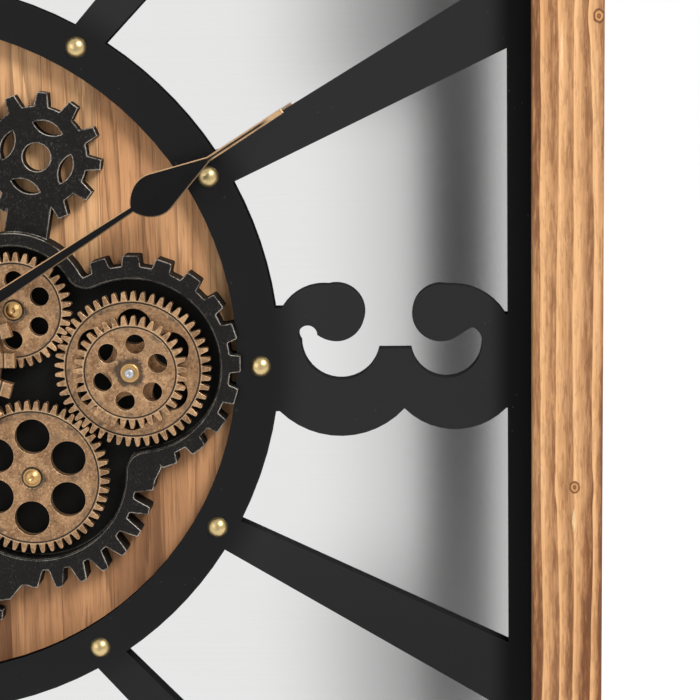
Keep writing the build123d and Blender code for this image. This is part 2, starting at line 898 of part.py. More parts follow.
with BuildPart() as gear_tray:
    with BuildSketch(front_plane(disc_front)):
        for outline in ornaments:
            add(outline)
    extrude(amount=ornament_height)
    with BuildSketch(front_plane(disc_front)):
        add(lobe_sketch(True, tray_corner_radius))
        side_web = web_sketch(side_rim_centre, tray_web, lower_rim_centre)
        for outline in (*[toothed_rim(*rim) for rim in toothed_rims], side_web):
            add(outline)
            add(outline.mirror(Plane.YZ))
        add(web_sketch(lower_rim_centre, tray_low_web, gear_centre))
    extrude(amount=tray_height)
    with BuildSketch(front_plane(pocket_floor)):
        add(lobe_sketch(False, pocket_corner_radius))
    extrude(amount=tray_height, mode=Mode.SUBTRACT)
    with BuildSketch(front_plane(pocket_floor)):
        with Locations(*idler_centres, *side_centres):
            Circle(gear_boss_radius)
    extrude(amount=gear_back - gear_end_play - pocket_floor)
    with BuildSketch(front_plane(disc_front)):
        Circle(neck_radius + neck_play)
        with Locations(*side_centres):
            Circle(shaft_radius + gear_running_fit)
        with Locations(*idler_centres):
            Circle(pin_radius + press_play)
    extrude(amount=tray_height, mode=Mode.SUBTRACT)
    with BuildSketch(front_plane(disc_front)):
        with Locations(*tray_screw_points):
            Circle(screw_shank_radius + screw_play)
    extrude(amount=tray_screw_length - disc_thickness, mode=Mode.SUBTRACT)
    with BuildSketch(front_plane(disc_front)):
        Circle(ring_outer_radius)
        Circle(ring_inner_radius - tray_ring_gap, mode=Mode.SUBTRACT)
    extrude(amount=plate_front - disc_front + tray_ring_gap, mode=Mode.SUBTRACT)
    chamfer(gear_tray.faces().group_by(Axis.Y)[0].face().inner_wires().edges(), tray_chamfer)
finish(gear_tray, "gear_tray")

with BuildPart(front_plane(disc_back)) as tray_screws:
    with Locations(*tray_screw_points):
        Cylinder(screw_head_radius, tray_screw_head_height, align=top_align)
        Cylinder(screw_shank_radius, tray_screw_length, align=base_align)
finish(tray_screws, "tray_screws")

# Gears
with BuildSketch() as tooth_face:
    with BuildLine():
        Polyline(
            (-tooth_tip_half_width, tooth_tip_half_width),
            (-gear_tooth_height - tooth_overlap, tooth_root_half_width),
            (-gear_tooth_height - tooth_overlap, -tooth_root_half_width),
            (-tooth_tip_half_width, -tooth_tip_half_width),
        )
        ThreePointArc(
            (-tooth_tip_half_width, -tooth_tip_half_width),
            (0, 0),
            (-tooth_tip_half_width, tooth_tip_half_width),
        )
    make_face()
gear_tooth = tooth_face.sketch


def make_gear(name, centre, level, thickness, teeth, phase, holes, bore, seat_radius=0):
    """Gear with rounded teeth, an engraved ring near its rim and a circle of round holes."""
    hole_radius, hole_circle, hole_phase = holes
    groove_radius = root_radius(teeth) - groove_inset
    with BuildPart() as gear:
        with BuildSketch(front_plane(level, centre)):
            Circle(root_radius(teeth))
            with PolarLocations(tip_radius(teeth), teeth, start_angle=phase):
                add(gear_tooth)
            with PolarLocations(hole_circle, hole_count, start_angle=hole_phase):
                Circle(hole_radius, mode=Mode.SUBTRACT)
            Circle(bore, mode=Mode.SUBTRACT)
        extrude(amount=thickness)
        with BuildSketch(front_plane(level + thickness, centre)):
            Circle(groove_radius + groove_width / 2)
            Circle(groove_radius - groove_width / 2, mode=Mode.SUBTRACT)
        extrude(amount=-groove_depth, mode=Mode.SUBTRACT)
        if seat_radius:
            with BuildSketch(front_plane(level + thickness, centre)):
                Circle(seat_radius)
            extrude(amount=-gear_seat_depth, mode=Mode.SUBTRACT)
    finish(gear, name)


pin_bore = pin_radius + gear_running_fit
pin_seat = pin_head_radius + pin_seat_margin
bush_bore = bush_radius + press_play
sleeve_bore = sleeve_radius + press_play
idlers = (
    ("gear_upper_right", upper_centre, upper_teeth, upper_phase, upper_holes),
    ("gear_upper_left", left_of(upper_centre), upper_teeth, left_upper_phase, upper_holes),
    ("gear_lower_right", lower_centre, lower_teeth, lower_phase, lower_holes),
    ("gear_lower_left", left_of(lower_centre), lower_teeth, left_lower_phase, lower_holes),
)
for name, centre, teeth, phase, holes in idlers:
    make_gear(name, centre, gear_back, gear_thickness, teeth, phase, holes, pin_bore, pin_seat)

pairs = (
    ("right", side_centre, side_phase),
    ("left", left_of(side_centre), left_side_phase),
)
for side, centre, phase in pairs:
    make_gear(
        f"gear_{side}_large", centre, gear_back, gear_thickness, side_teeth, phase, side_holes, bush_bore
    )
    make_gear(
        f"gear_{side}_small",
        centre,
        front_gear_back,
        front_gear_thickness,
        front_teeth,
        front_phase,
        front_holes,
        bush_bore,
    )
    with BuildPart(front_plane(gear_back, centre)) as bush:
        Cylinder(bush_radius, bush_front - gear_back, align=base_align)
        with Locations((0, 0, gear_thickness)):
            Cylinder(bush_collar_radius, front_gear_gap, align=base_align)
        fillet(bush.edges().group_by(Axis.Y)[0], bush_round)
        Hole(shaft_radius + press_play)
    finish(bush, f"gear_bush_{side}")

make_gear(
    "centre_wheel",
    gear_centre,
    gear_back,
    gear_thickness,
    centre_teeth,
    centre_phase,
    upper_holes,
    sleeve_bore,
)

with BuildPart() as centre_cog:
    hole_radius, hole_circle, hole_phase = cog_holes
    with BuildSketch(front_plane(cog_back)):
        Circle(cog_root_radius)
        with PolarLocations(cog_root_radius, cog_teeth, start_angle=cog_first_tooth):
            Rectangle(2 * (cog_tip_radius - cog_root_radius), cog_tooth_width)
        with PolarLocations(hole_circle, hole_count, start_angle=hole_phase):
            Circle(hole_radius, mode=Mode.SUBTRACT)
        Circle(sleeve_bore, mode=Mode.SUBTRACT)
    extrude(amount=cog_thickness)
    chamfer(centre_cog.faces().sort_by(Axis.Y)[0].outer_wire().edges(), cog_chamfer)
finish(centre_cog, "centre_cog")

with BuildPart(front_plane(gear_back)) as centre_sleeve:
    Cylinder(sleeve_radius, cog_front - gear_back, align=base_align)
    Hole(neck_radius + gear_running_fit)
finish(centre_sleeve, "centre_sleeve")

# Pins and shafts
pin_head_back = gear_front - gear_seat_depth + gear_end_play
pin_dome_back = pin_head_back + pin_step_height
with BuildPart() as idler_pins:
    for centre in idler_centres:
        with Locations(front_plane(disc_front - axle_seat, centre)):
            Cylinder(pin_radius, axle_seat + pin_dome_back - disc_front, align=base_align)
        with Locations(front_plane(pin_head_back, centre)):
            Cylinder(pin_head_radius, pin_step_height, align=base_align)
        with Locations(front_plane(pin_dome_back, centre)):
            dome(pin_dome_radius, pin_dome_height)
        with Locations(front_plane(pin_dome_back + pin_dome_height, centre)):
            Cone(*pin_dimple_radii, pin_dimple_depth, align=top_align, mode=Mode.SUBTRACT)
finish(idler_pins, "idler_pins")


def shaft_nose(builder, length):
    """Chamfer and turned centre mark on the front end of a shaft."""
    chamfer(builder.edges().group_by(Axis.Y)[0], shaft_chamfer)
    with Locations((0, 0, length)):
        Cone(*centre_mark_radii, centre_mark_depth, align=top_align, mode=Mode.SUBTRACT)


motor_centre = (side_centre[0], side_centre[1] - motor_shaft_drop)
drive_length = shaft_front - disc_back + motor_shaft_reach
with BuildPart(front_plane(shaft_front - drive_length, side_centre)) as drive_shaft:
    Cylinder(shaft_radius, drive_length, align=base_align)
    shaft_nose(drive_shaft, drive_length)
finish(drive_shaft, "drive_shaft")

axle_back = disc_back - gear_end_play - axle_collar_height
with BuildPart(front_plane(axle_back, left_of(side_centre))) as left_axle:
    Cylinder(shaft_radius, shaft_front - axle_back, align=base_align)
    Cylinder(axle_collar_radius, axle_collar_height, align=base_align)
    shaft_nose(left_axle, shaft_front - axle_back)
finish(left_axle, "left_axle")

# Gear motor
with BuildPart() as motor_case:
    with BuildSketch(front_plane(motor_back, motor_centre)):
        Rectangle(motor_width, motor_height)
    extrude(amount=motor_depth)
    with BuildSketch(front_plane(motor_back, motor_centre)):
        Rectangle(motor_width - 2 * motor_wall, motor_height - 2 * motor_wall)
    extrude(amount=motor_depth - motor_wall, mode=Mode.SUBTRACT)
    with BuildSketch(front_plane(motor_back, side_centre)):
        Circle(shaft_radius + gear_running_fit)
    extrude(amount=motor_depth, mode=Mode.SUBTRACT)
finish(motor_case, "motor_case")

with BuildPart() as motor_cover:
    with BuildSketch(front_plane(motor_back, motor_centre)):
        Rectangle(motor_width, motor_height)
    extrude(amount=-motor_cover_thickness)
finish(motor_cover, "motor_cover")

# Battery box with two cells side by side
cell_pitch = 2 * cell_radius + cell_gap
box_inside_width = cell_length + 2 * (contact_thickness + cell_play)
box_inside_height = cell_pitch + 2 * (cell_radius + cell_play)
box_width = box_inside_width + 2 * box_wall
box_height = box_inside_height + 2 * box_wall
cell_level = disc_back - box_wall - cell_radius - cell_play
cell_rows = (box_centre[1] - cell_pitch / 2, box_centre[1] + cell_pitch / 2)

with BuildPart() as battery_box:
    with BuildSketch(front_plane(disc_back - box_depth, box_centre)):
        Rectangle(box_width, box_height)
    extrude(amount=box_depth)
    with BuildSketch(front_plane(disc_back - box_depth, box_centre)):
        Rectangle(box_inside_width, box_inside_height)
    extrude(amount=box_depth - box_wall, mode=Mode.SUBTRACT)
finish(battery_box, "battery_box")

with BuildPart() as battery_cells:
    for row in cell_rows:
        with BuildSketch(Plane.YZ.offset(box_centre[0])):
            with Locations((-cell_level, row)):
                Circle(cell_radius)
        extrude(amount=cell_length / 2, both=True)
finish(battery_cells, "battery_cells")

contact_shift = (box_inside_width - contact_thickness) / 2
with BuildPart() as battery_contacts:
    for row in cell_rows:
        for side in (-1, 1):
            with BuildSketch(front_plane(cell_level, (box_centre[0] + side * contact_shift, row))):
                Rectangle(contact_thickness, contact_size)
            extrude(amount=contact_size / 2, both=True)
finish(battery_contacts, "battery_contacts")

# Lead from the battery box to the motor, under the movement
lead_start = (box_centre[0] + box_width / 2, box_centre[1])
lead_end = (motor_centre[0] - motor_width / 2, motor_centre[1])
lead_low = min(-movement_width / 2, lead_start[1]) - lead_drop
lead_turn = 2 * lead_bend
with BuildPart() as motor_lead:
    with BuildLine(front_plane(disc_back - lead_radius - lead_gap)) as lead_path:
        FilletPolyline(
            lead_start,
            (lead_start[0] + lead_turn, lead_start[1]),
            (lead_start[0] + lead_turn, lead_low),
            (lead_end[0] - lead_turn, lead_low),
            (lead_end[0] - lead_turn, lead_end[1]),
            lead_end,
            radius=lead_bend,
        )
    with BuildSketch(Plane(origin=lead_path.line @ 0, z_dir=lead_path.line % 0)):
        Circle(lead_radius)
    sweep()
finish(motor_lead, "motor_lead")

# Quartz movement
with BuildPart() as movement_case:
    with BuildSketch(front_plane(movement_back)):
        Rectangle(movement_width, movement_width)
    extrude(amount=movement_depth)
    with BuildSketch(front_plane(movement_back)):
        Rectangle(movement_width - 2 * movement_wall, movement_width - 2 * movement_wall)
    extrude(amount=movement_depth - movement_wall, mode=Mode.SUBTRACT)
    with BuildSketch(front_plane(movement_back)):
        Circle(neck_radius + press_play)
    extrude(amount=movement_depth, mode=Mode.SUBTRACT)
finish(movement_case, "movement_case")

with BuildPart() as movement_cover:
    with BuildSketch(front_plane(movement_back)):
        Rectangle(movement_width, movement_width)
        with Locations(knob_place):
            Circle(knob_shaft_radius + gear_running_fit, mode=Mode.SUBTRACT)
        with Locations((0, -movement_cell_drop)):
            Rectangle(cell_length, 2 * cell_radius, mode=Mode.SUBTRACT)
    extrude(amount=-movement_cover_thickness)
finish(movement_cover, "movement_cover")

with BuildPart() as movement_cell:
    with BuildSketch(Plane.YZ):
        with Locations((-(disc_back - movement_wall - cell_radius - cell_play), -movement_cell_drop)):
            Circle(cell_radius)
    extrude(amount=cell_length / 2, both=True)
finish(movement_cell, "movement_cell")

neck_back = disc_back - movement_wall - neck_flange_height
with BuildPart(front_plane(neck_back)) as movement_neck:
    Cylinder(neck_flange_radius, neck_flange_height, align=base_align)
    Cylinder(neck_radius, neck_front - neck_back, align=base_align)
    Hole(pipe_radius + gear_running_fit)
finish(movement_neck, "movement_neck")

for name, level, height in (
    ("fixing_nut", pocket_floor, fixing_nut_height),
    ("front_nut", nut_back, front_nut_height),
):
    with BuildPart() as nut:
        with BuildSketch(front_plane(level)):
            RegularPolygon(nut_radius, 6)
            Circle(neck_radius + press_play, mode=Mode.SUBTRACT)
        extrude(amount=height)
    finish(nut, name)

arbor_back = movement_back + arbor_inset
with BuildPart(front_plane(arbor_back)) as hour_pipe:
    Cylinder(pipe_radius, hour_hand_back + hand_thickness - arbor_back, align=base_align)
    Hole(pipe_bore_radius)
finish(hour_pipe, "hour_pipe")

with BuildPart(front_plane(arbor_back)) as minute_arbor:
    Cylinder(arbor_radius, cap_back + cap_height - cap_wall - arbor_back, align=base_align)
finish(minute_arbor, "minute_arbor")

knob_front = movement_back - movement_cover_thickness - gear_end_play
with BuildPart(front_plane(knob_front, knob_place)) as set_knob:
    Cylinder(knob_radius, knob_height, align=top_align)
    Cylinder(knob_shaft_radius, knob_shaft_length, align=base_align)
finish(set_knob, "set_knob")


# Hands
def hand_outline(length, spade, tail):
    """Hand along local X: a tapered shaft, a round-shouldered spade and a needle."""
    root_half, neck_half = shaft_half_widths
    start, end = spade
    with BuildSketch() as outline:
        for flip in (1, -1):
            shoulder, swell, taper = [
                (start + along * (end - start), flip * share * spade_half_width)
                for along, share in (spade_shoulder, spade_swell, spade_taper)
            ]
            neck = (start, flip * neck_half)
            needle = (end, flip * needle_half_width)
            with BuildLine():
                round_shoulder = ThreePointArc(neck, shoulder, swell)
                TangentArc(swell, taper, tangent=round_shoulder % 1)
                Polyline(taper, needle, (length, flip * needle_half_width), (length, 0), (start, 0), neck)
            make_face()
        with BuildLine():
            Polyline(
                (-tail, -root_half),
                (0, -root_half),
                (start + hand_lap, -neck_half),
                (start + hand_lap, neck_half),
                (0, root_half),
                (-tail, root_half),
                close=True,
            )
        make_face()
        Circle(hand_hub_radius)
    return outline.sketch


hands = (
    ("hour_hand", hour_hand_back, hour_hand_angle, hour_hand_length, hour_spade, hour_tail, pipe_radius),
    (
        "minute_hand",
        minute_hand_back,
        minute_hand_angle,
        minute_hand_length,
        minute_spade,
        minute_tail,
        arbor_radius,
    ),
)
for name, level, angle, length, spade, tail, seat in hands:
    with BuildPart() as hand:
        with BuildSketch(front_plane(level, turn=angle)):
            add(hand_outline(length, spade, tail))
            Circle(seat + press_play, mode=Mode.SUBTRACT)
        extrude(amount=hand_thickness)
        chamfer(hand.faces().sort_by(Axis.Y)[0].outer_wire().edges(), hand_chamfer)
    finish(hand, name)

with BuildPart(front_plane(cap_back)) as hand_cap:
    dome(cap_radius, cap_height)
    Cylinder(
        arbor_radius + press_play, cap_height - cap_wall, align=base_align, mode=Mode.SUBTRACT
    )
finish(hand_cap, "hand_cap")
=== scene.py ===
import json
import math

import bpy
from bpy.props import FloatProperty, FloatVectorProperty, PointerProperty
from bpy.types import Operator, Panel, PropertyGroup
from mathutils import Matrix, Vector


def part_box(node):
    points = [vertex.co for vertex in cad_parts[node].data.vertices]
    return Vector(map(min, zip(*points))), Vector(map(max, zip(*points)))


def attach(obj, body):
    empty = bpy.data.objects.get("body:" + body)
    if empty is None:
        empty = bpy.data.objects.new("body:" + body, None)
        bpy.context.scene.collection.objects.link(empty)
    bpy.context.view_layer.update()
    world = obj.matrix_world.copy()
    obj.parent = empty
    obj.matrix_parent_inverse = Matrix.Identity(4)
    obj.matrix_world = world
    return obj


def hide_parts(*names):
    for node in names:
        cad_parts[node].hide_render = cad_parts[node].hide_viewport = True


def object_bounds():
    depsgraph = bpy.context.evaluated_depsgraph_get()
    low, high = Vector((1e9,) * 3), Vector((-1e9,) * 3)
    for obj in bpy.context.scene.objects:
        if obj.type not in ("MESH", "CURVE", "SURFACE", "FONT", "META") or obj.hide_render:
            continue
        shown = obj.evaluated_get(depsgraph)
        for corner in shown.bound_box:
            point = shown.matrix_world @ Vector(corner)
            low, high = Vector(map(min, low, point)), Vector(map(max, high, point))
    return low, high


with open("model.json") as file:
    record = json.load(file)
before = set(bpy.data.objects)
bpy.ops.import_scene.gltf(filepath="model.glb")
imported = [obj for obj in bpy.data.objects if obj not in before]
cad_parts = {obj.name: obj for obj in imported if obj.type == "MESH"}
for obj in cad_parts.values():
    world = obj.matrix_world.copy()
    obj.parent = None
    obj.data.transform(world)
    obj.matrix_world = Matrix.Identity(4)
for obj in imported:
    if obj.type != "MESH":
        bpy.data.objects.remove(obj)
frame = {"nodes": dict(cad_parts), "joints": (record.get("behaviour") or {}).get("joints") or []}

bl_info = {
    "name": "Gear Wall Clock",
    "version": (1, 0, 0),
    "blender": (4, 5, 0),
    "location": "View3D > Sidebar > Clock",
    "description": "Finishes and small parts of a framed wall clock with an open gear train",
    "category": "Object",
}

cad_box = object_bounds()
MM = 0.001
JOINT_PLACE = {joint["child"]: joint["pos_m"] for joint in frame["joints"] if joint.get("pos_m")}

# Places and lengths here are in metres. A pair of them is where a change begins and where it is complete.
# Knots on the front of the uprights: x, z and radius
KNOTS = ((0.2975, 0.142, 0.0024), (0.288, -0.057, 0.0022), (-0.281, 0.21, 0.0026))
# Streaks of resin on the uprights: x, z, half width and half length
STREAKS = ((0.2823, 0.129, 0.0007, 0.011), (0.2878, -0.0715, 0.0012, 0.006))
# Distance from the dial's axis at which painted light on the dial board begins
LIT_REACH = (0.158, 0.175)
# Height over which that painted light gains its full strength
LIT_HEIGHT = (-0.16, -0.06)
# Edges of the dial board's dark border, to the sides and up and down
BORDER_SIDE = (0.25, 0.262)
BORDER_END = (0.32, 0.332)
# Height over which the disc's boards turn paler
PALE_HEIGHT = (-0.15, 0.02)
# Depth from the tray's pockets to its rim
TRAY_RIM = (-0.0375, -0.0395)
# Gears of each body, with the radius in millimetres of the patina and painted shade round the hub
GEARS = {
    "right_train": (("gear_right_large", 7), ("gear_right_small", 5.6)),
    "left_train": (("gear_left_large", 7), ("gear_left_small", 5.6)),
    "upper_right": (("gear_upper_right", 4.4),),
    "upper_left": (("gear_upper_left", 4.4),),
    "lower_right": (("gear_lower_right", 4.4),),
    "lower_left": (("gear_lower_left", 4.4),),
    "centre_train": (("centre_wheel", 7), ("centre_cog", 7)),
}
# Share by which the bronze of the lower gears is browner
LOWER_BROWN = 0.35
# Hands: node, angle at rest in degrees, and distance from the axis to the end of the spade
HANDS = (("minute_hand", 32.3, 0.162), ("hour_hand", 145.1, 0.108))
# Least part of a face's normal along an axis for the face to count as square to it
SQUARE = 0.9


# Shader maths


class Wire:
    """A socket of a material's node tree that can be used in expressions."""

    def __init__(self, finish, socket):
        self.finish = finish
        self.socket = socket

    def maths(self, operation, first, second):
        return self.finish.node("ShaderNodeMath", {"operation": operation}, {0: first, 1: second})

    def __add__(self, other):
        return self.maths("ADD", self, other)

    __radd__ = __add__

    def __sub__(self, other):
        return self.maths("SUBTRACT", self, other)

    def __rsub__(self, other):
        return self.maths("SUBTRACT", other, self)

    def __mul__(self, other):
        return self.maths("MULTIPLY", self, other)

    def __truediv__(self, other):
        return self.maths("DIVIDE", self, other)

    def __abs__(self):
        return self.maths("ABSOLUTE", self, 0)

    def floor(self):
        return self.maths("FLOOR", self, 0)

    def fraction(self):
        return self.maths("FRACT", self, 0)

    def least(self, other):
        return self.maths("MINIMUM", self, other)

    def most(self, other):
        return self.maths("MAXIMUM", self, other)

    def step(self, low, high):
        """0 below low, 1 above high and smooth between them."""
        return self.finish.node(
            "ShaderNodeMapRange",
            {"interpolation_type": "SMOOTHSTEP"},
            {"Value": self, "From Min": low, "From Max": high},
        )


class Shading:
    """An empty node tree of a material or a world, and the nodes that are put in it."""

    def __init__(self, owner):
        owner.use_nodes = True
        self.tree = owner.node_tree
        self.tree.nodes.clear()

    def show(self, kind, shader):
        """Output node of this kind that shows a shader."""
        output = self.tree.nodes.new(kind)
        self.tree.links.new(shader, output.inputs["Surface"])

    def feed(self, socket, value):
        """Link a wire to a socket, or give the socket a value."""
        if isinstance(value, Wire):
            self.tree.links.new(value.socket, socket)
        elif socket.type == "RGBA":
            socket.default_value = (*value, 1)
        else:
            socket.default_value = value

    def node(self, kind, settings=None, sockets=None, out=0):
        """Any node: its settings, then the values or links of its sockets."""
        node = self.tree.nodes.new(kind)
        for key, value in (settings or {}).items():
            setattr(node, key, value)
        for key, value in (sockets or {}).items():
            self.feed(node.inputs[key], value)
        return Wire(self, node.outputs[out])

    def vector(self, operation, *vectors, out=0):
        """Vector maths; output 1 is the single value of a length or a dot product."""
        sockets = dict(enumerate(vectors))
        return self.node("ShaderNodeVectorMath", {"operation": operation}, sockets, out)

    def length(self, vector):
        return self.vector("LENGTH", vector, out=1)

    def reach(self, place):
        """Distance from the Y axis."""
        return self.length(self.vector("MULTIPLY", place, (1, 0, 1)))

    def chance(self, whole):
        """Value from 0 to 1 drawn for a whole number."""
        return self.node("ShaderNodeTexWhiteNoise", {"noise_dimensions": "1D"}, {"W": whole}, out="Value")

    def facing(self):
        """Direction that a face looks in, without bump."""
        return self.node("ShaderNodeNewGeometry", out="True Normal")

    def ray(self, *kinds):
        """1 for a ray of any of these kinds."""
        first, *others = [self.node("ShaderNodeLightPath", out=f"Is {kind} Ray") for kind in kinds]
        for other in others:
            first = first.most(other)
        return first

    def place(self, scale=(1, 1, 1), centre=(0, 0, 0), turn=(0, 0, 0)):
        """Object coordinates from a centre, turned and scaled."""
        coordinates = self.node("ShaderNodeTexCoord", out="Object")
        shifted = self.vector("SUBTRACT", coordinates, centre)
        return self.node(
            "ShaderNodeMapping", {"vector_type": "POINT"}, {0: shifted, "Rotation": turn, "Scale": scale}
        )

    def axis(self, letter, vector=None):
        """One coordinate of a vector."""
        return self.node("ShaderNodeSeparateXYZ", None, {0: vector or self.place()}, out=letter)

    def noise(self, vector, scale=1.0, detail=2.0, roughness=0.5, distortion=0.0):
        """Soft noise from 0 to 1."""
        return self.node(
            "ShaderNodeTexNoise",
            {"noise_dimensions": "3D"},
            {
                "Vector": vector,
                "Scale": scale,
                "Detail": detail,
                "Roughness": roughness,
                "Distortion": distortion,
            },
        )

    def specks(self, vector, scale):
        """Distance from scattered points."""
        return self.node("ShaderNodeTexVoronoi", {"feature": "F1"}, {"Vector": vector, "Scale": scale})

    def blend(self, share, first, second):
        """Colour between two colours."""
        return self.node(
            "ShaderNodeMix",
            {"data_type": "RGBA", "clamp_factor": True},
            {0: share, 6: first, 7: second},
            out=2,
        )

    def ramp(self, share, *stops):
        """Colour from a list of (place, colour) stops."""
        node = self.tree.nodes.new("ShaderNodeValToRGB")
        elements = node.color_ramp.elements
        while len(elements) < len(stops):
            elements.new(0.5)
        for element, (place, colour) in zip(elements, stops):
            element.position = place
            element.color = (*colour, 1)
        self.feed(node.inputs[0], share)
        return Wire(self, node.outputs[0])

    def edges(self, radius):
        """1 on sharp edges, 0 on open faces."""
        rounded = self.node("ShaderNodeBevel", {"samples": 6}, {"Radius": radius})
        turned = self.vector("DOT_PRODUCT", rounded, self.facing(), out=1)
        return (1 - turned).step(0.02, 0.22)


class Finish(Shading):
    """A procedural material with one principled shader."""

    def __init__(self, name, **constants):
        self.material = bpy.data.materials.new(name)
        super().__init__(self.material)
        self.shader = self.tree.nodes.new("ShaderNodeBsdfPrincipled")
        self.show("ShaderNodeOutputMaterial", self.shader.outputs[0])
        for socket, value in constants.items():
            self.set(socket.replace("_", " ").title().replace("Ior", "IOR"), value)

    def set(self, socket, value):
        """Value or link of a socket of the shader."""
        self.feed(self.shader.inputs[socket], value)

    def relief(self, height, distance, strength=1.0, softened=0.0):
        """Bump, on edges rounded by a radius."""
        sockets = {"Strength": strength, "Distance": distance, "Height": height}
        if softened:
            sockets["Normal"] = self.node("ShaderNodeBevel", {"samples": 6}, {"Radius": softened})
        self.set("Normal", self.node("ShaderNodeBump", None, sockets))


def dress(finish, *nodes):
    """Give CAD nodes a finish."""
    for name in nodes:
        slots = frame["nodes"][name].data.materials
        slots.clear()
        slots.append(finish.material)


def linear(red, green, blue):
    """Linear colour from the 0 to 255 values of a screen."""
    shares = [value / 255 for value in (red, green, blue)]
    return tuple(((v + 0.055) / 1.055) ** 2.4 if v > 0.04045 else v / 12.92 for v in shares)


# Finishes


def fir_finish(name, along, colours, knots=(), streaks=()):
    """Scorched fir with grain along one axis; knots are (x, z, radius) on the front, streaks of
    resin are (x, z, half width, half length)."""
    finish = Finish(name, specular_ior_level=0.3)
    turn = (0, 0, 0) if along == "Z" else (0, math.pi / 2, 0)
    swirl = 0
    heart = 0
    bark = 0
    for x, z, radius in knots:
        spot = finish.place((1 / radius, 0, 0.8 / radius), (x, 0, z))
        away = finish.length(spot) + finish.noise(finish.place(), 700) * 0.3 - 0.15
        swirl = swirl - (1 - away.step(0.2, 5.0)) * finish.axis("X", spot) * 0.0007
        heart = heart + 1 - away.step(0.8, 1.0)
        bark = bark + (1 - abs(away - 0.85).step(0.06, 0.24)).most(1 - abs(away - 0.2).step(0.05, 0.2))
    resin = 0
    for x, z, width, length in streaks:
        bent = finish.place((1 / width, 0, 1 / length), (x, 0, z), (0, 0.04, 0))
        away = finish.length(bent) + finish.noise(finish.place((1500, 1500, 300))) - 0.5
        resin = resin + 1 - away.step(0.5, 1.0)

    def grain(across, length, detail, roughness):
        return finish.noise(finish.place((across, across, length), turn=turn), 1.0, detail, roughness)

    dashes = grain(800, 80, 3.0, 0.65)
    fibres = grain(900, 30, 3.0, 0.7)
    pores = grain(760, 130, 2.0, 0.6).step(0.5, 0.64)
    # Broad scorched patches at random, and darker towards the bottom of the piece
    burn = (grain(26, 4.0, 2.0, 0.5) - finish.axis("Z") * 0.7).step(0.34, 0.62)
    rings = (finish.axis("X", finish.place(turn=turn)) + swirl) * 150 + finish.axis("Y") * 60
    rings = rings + grain(16, 2.4, 2.0, 0.5) * 3.2 + grain(90, 9, 2.0, 0.5) * 0.7
    year = rings.fraction()
    depth = 0.5 + finish.chance(rings.floor()) * 0.5
    late = year.step(0.02, 0.8) * (1 - year.step(0.94, 1.0)) * depth
    scorch = (late * (0.85 + burn * 0.55) * (0.3 + dashes * 1.5)).least(1)
    soot = scorch.step(0.3, 0.8) * dashes.step(0.36, 0.56) * (0.4 + burn * 0.6)
    pale = 1 - year.step(0.02, 0.2)
    tone = finish.blend(fibres.step(0.34, 0.68) * 0.6 + burn * 0.4, colours.fir_light, colours.fir_mid)
    tone = finish.blend(scorch, tone, colours.fir_dark)
    tone = finish.blend(soot * 0.6, tone, colours.fir_knot)
    tone = finish.blend(pale * 0.5, tone, colours.fir_light)
    tone = finish.blend(pores * (0.2 + scorch * 0.4), tone, colours.fir_dark)
    if knots:
        tone = finish.blend(heart, tone, colours.fir_mid)
        tone = finish.blend(bark * 0.9, tone, colours.fir_knot)
        tone = finish.blend(resin * 0.8, tone, colours.fir_resin)
    finish.set("Base Color", tone)
    finish.set("Roughness", 0.6 - scorch * 0.12)
    finish.relief(fibres * 0.6 - scorch * 0.5 - pores * 0.4, distance=0.0005, strength=0.5)
    return finish


def plank_finish(colours, sizes):
    """Disc of upright boards with fine pores."""
    finish = Finish("disc_boards", specular_ior_level=0.25)
    waver = finish.noise(finish.place((0, 0, 9))) * 0.05
    across = finish.axis("X") / sizes.board_width + 0.37 + waver
    board = across.floor()
    edge = abs(across.fraction() - 0.5)
    shade = finish.chance(board)
    lift = finish.node("ShaderNodeCombineXYZ", None, {0: board * 3.7, 1: 0.0, 2: board * 11.3})

    def grain(across_scale, length, detail, roughness):
        place = finish.vector("ADD", finish.place((across_scale, across_scale, length)), lift)
        return finish.noise(place, 1.0, detail, roughness)

    stripes = grain(95, 4, 3.0, 0.6)
    streaks = grain(480, 9, 2.0, 0.6)
    pores = grain(1000, 45, 3.0, 0.65).step(0.5, 0.66)
    silk = grain(800, 30, 3.0, 0.7)
    glow = finish.axis("Z").step(*PALE_HEIGHT) * 0.46
    tone = finish.ramp(
        stripes * 0.5 + streaks * 0.22 + shade * 0.3 + silk * 0.32 + glow - 0.4,
        (0.0, colours.disc_dark),
        (0.66, colours.disc_mid),
        (1.0, colours.disc_light),
    )
    year = (grain(44, 2.4, 2.0, 0.5) * 9 + silk * 0.4).fraction()
    late = year.step(0.55, 0.95) * (1 - year.step(0.95, 1.0))
    tone = finish.blend(late * (0.28 + streaks.step(0.4, 0.65) * 0.35), tone, colours.disc_dark)
    tone = finish.blend(pores * 0.3, tone, colours.disc_dark)
    joint = edge.step(0.488, 0.5)
    finish.set("Base Color", finish.blend(joint * 0.5, tone, colours.disc_joint))
    finish.set("Roughness", 0.52 + pores * 0.2)
    finish.relief(silk * 0.5 + streaks * 0.3 - joint * 0.8 - pores * 0.4, distance=0.0004, strength=0.5)
    return finish


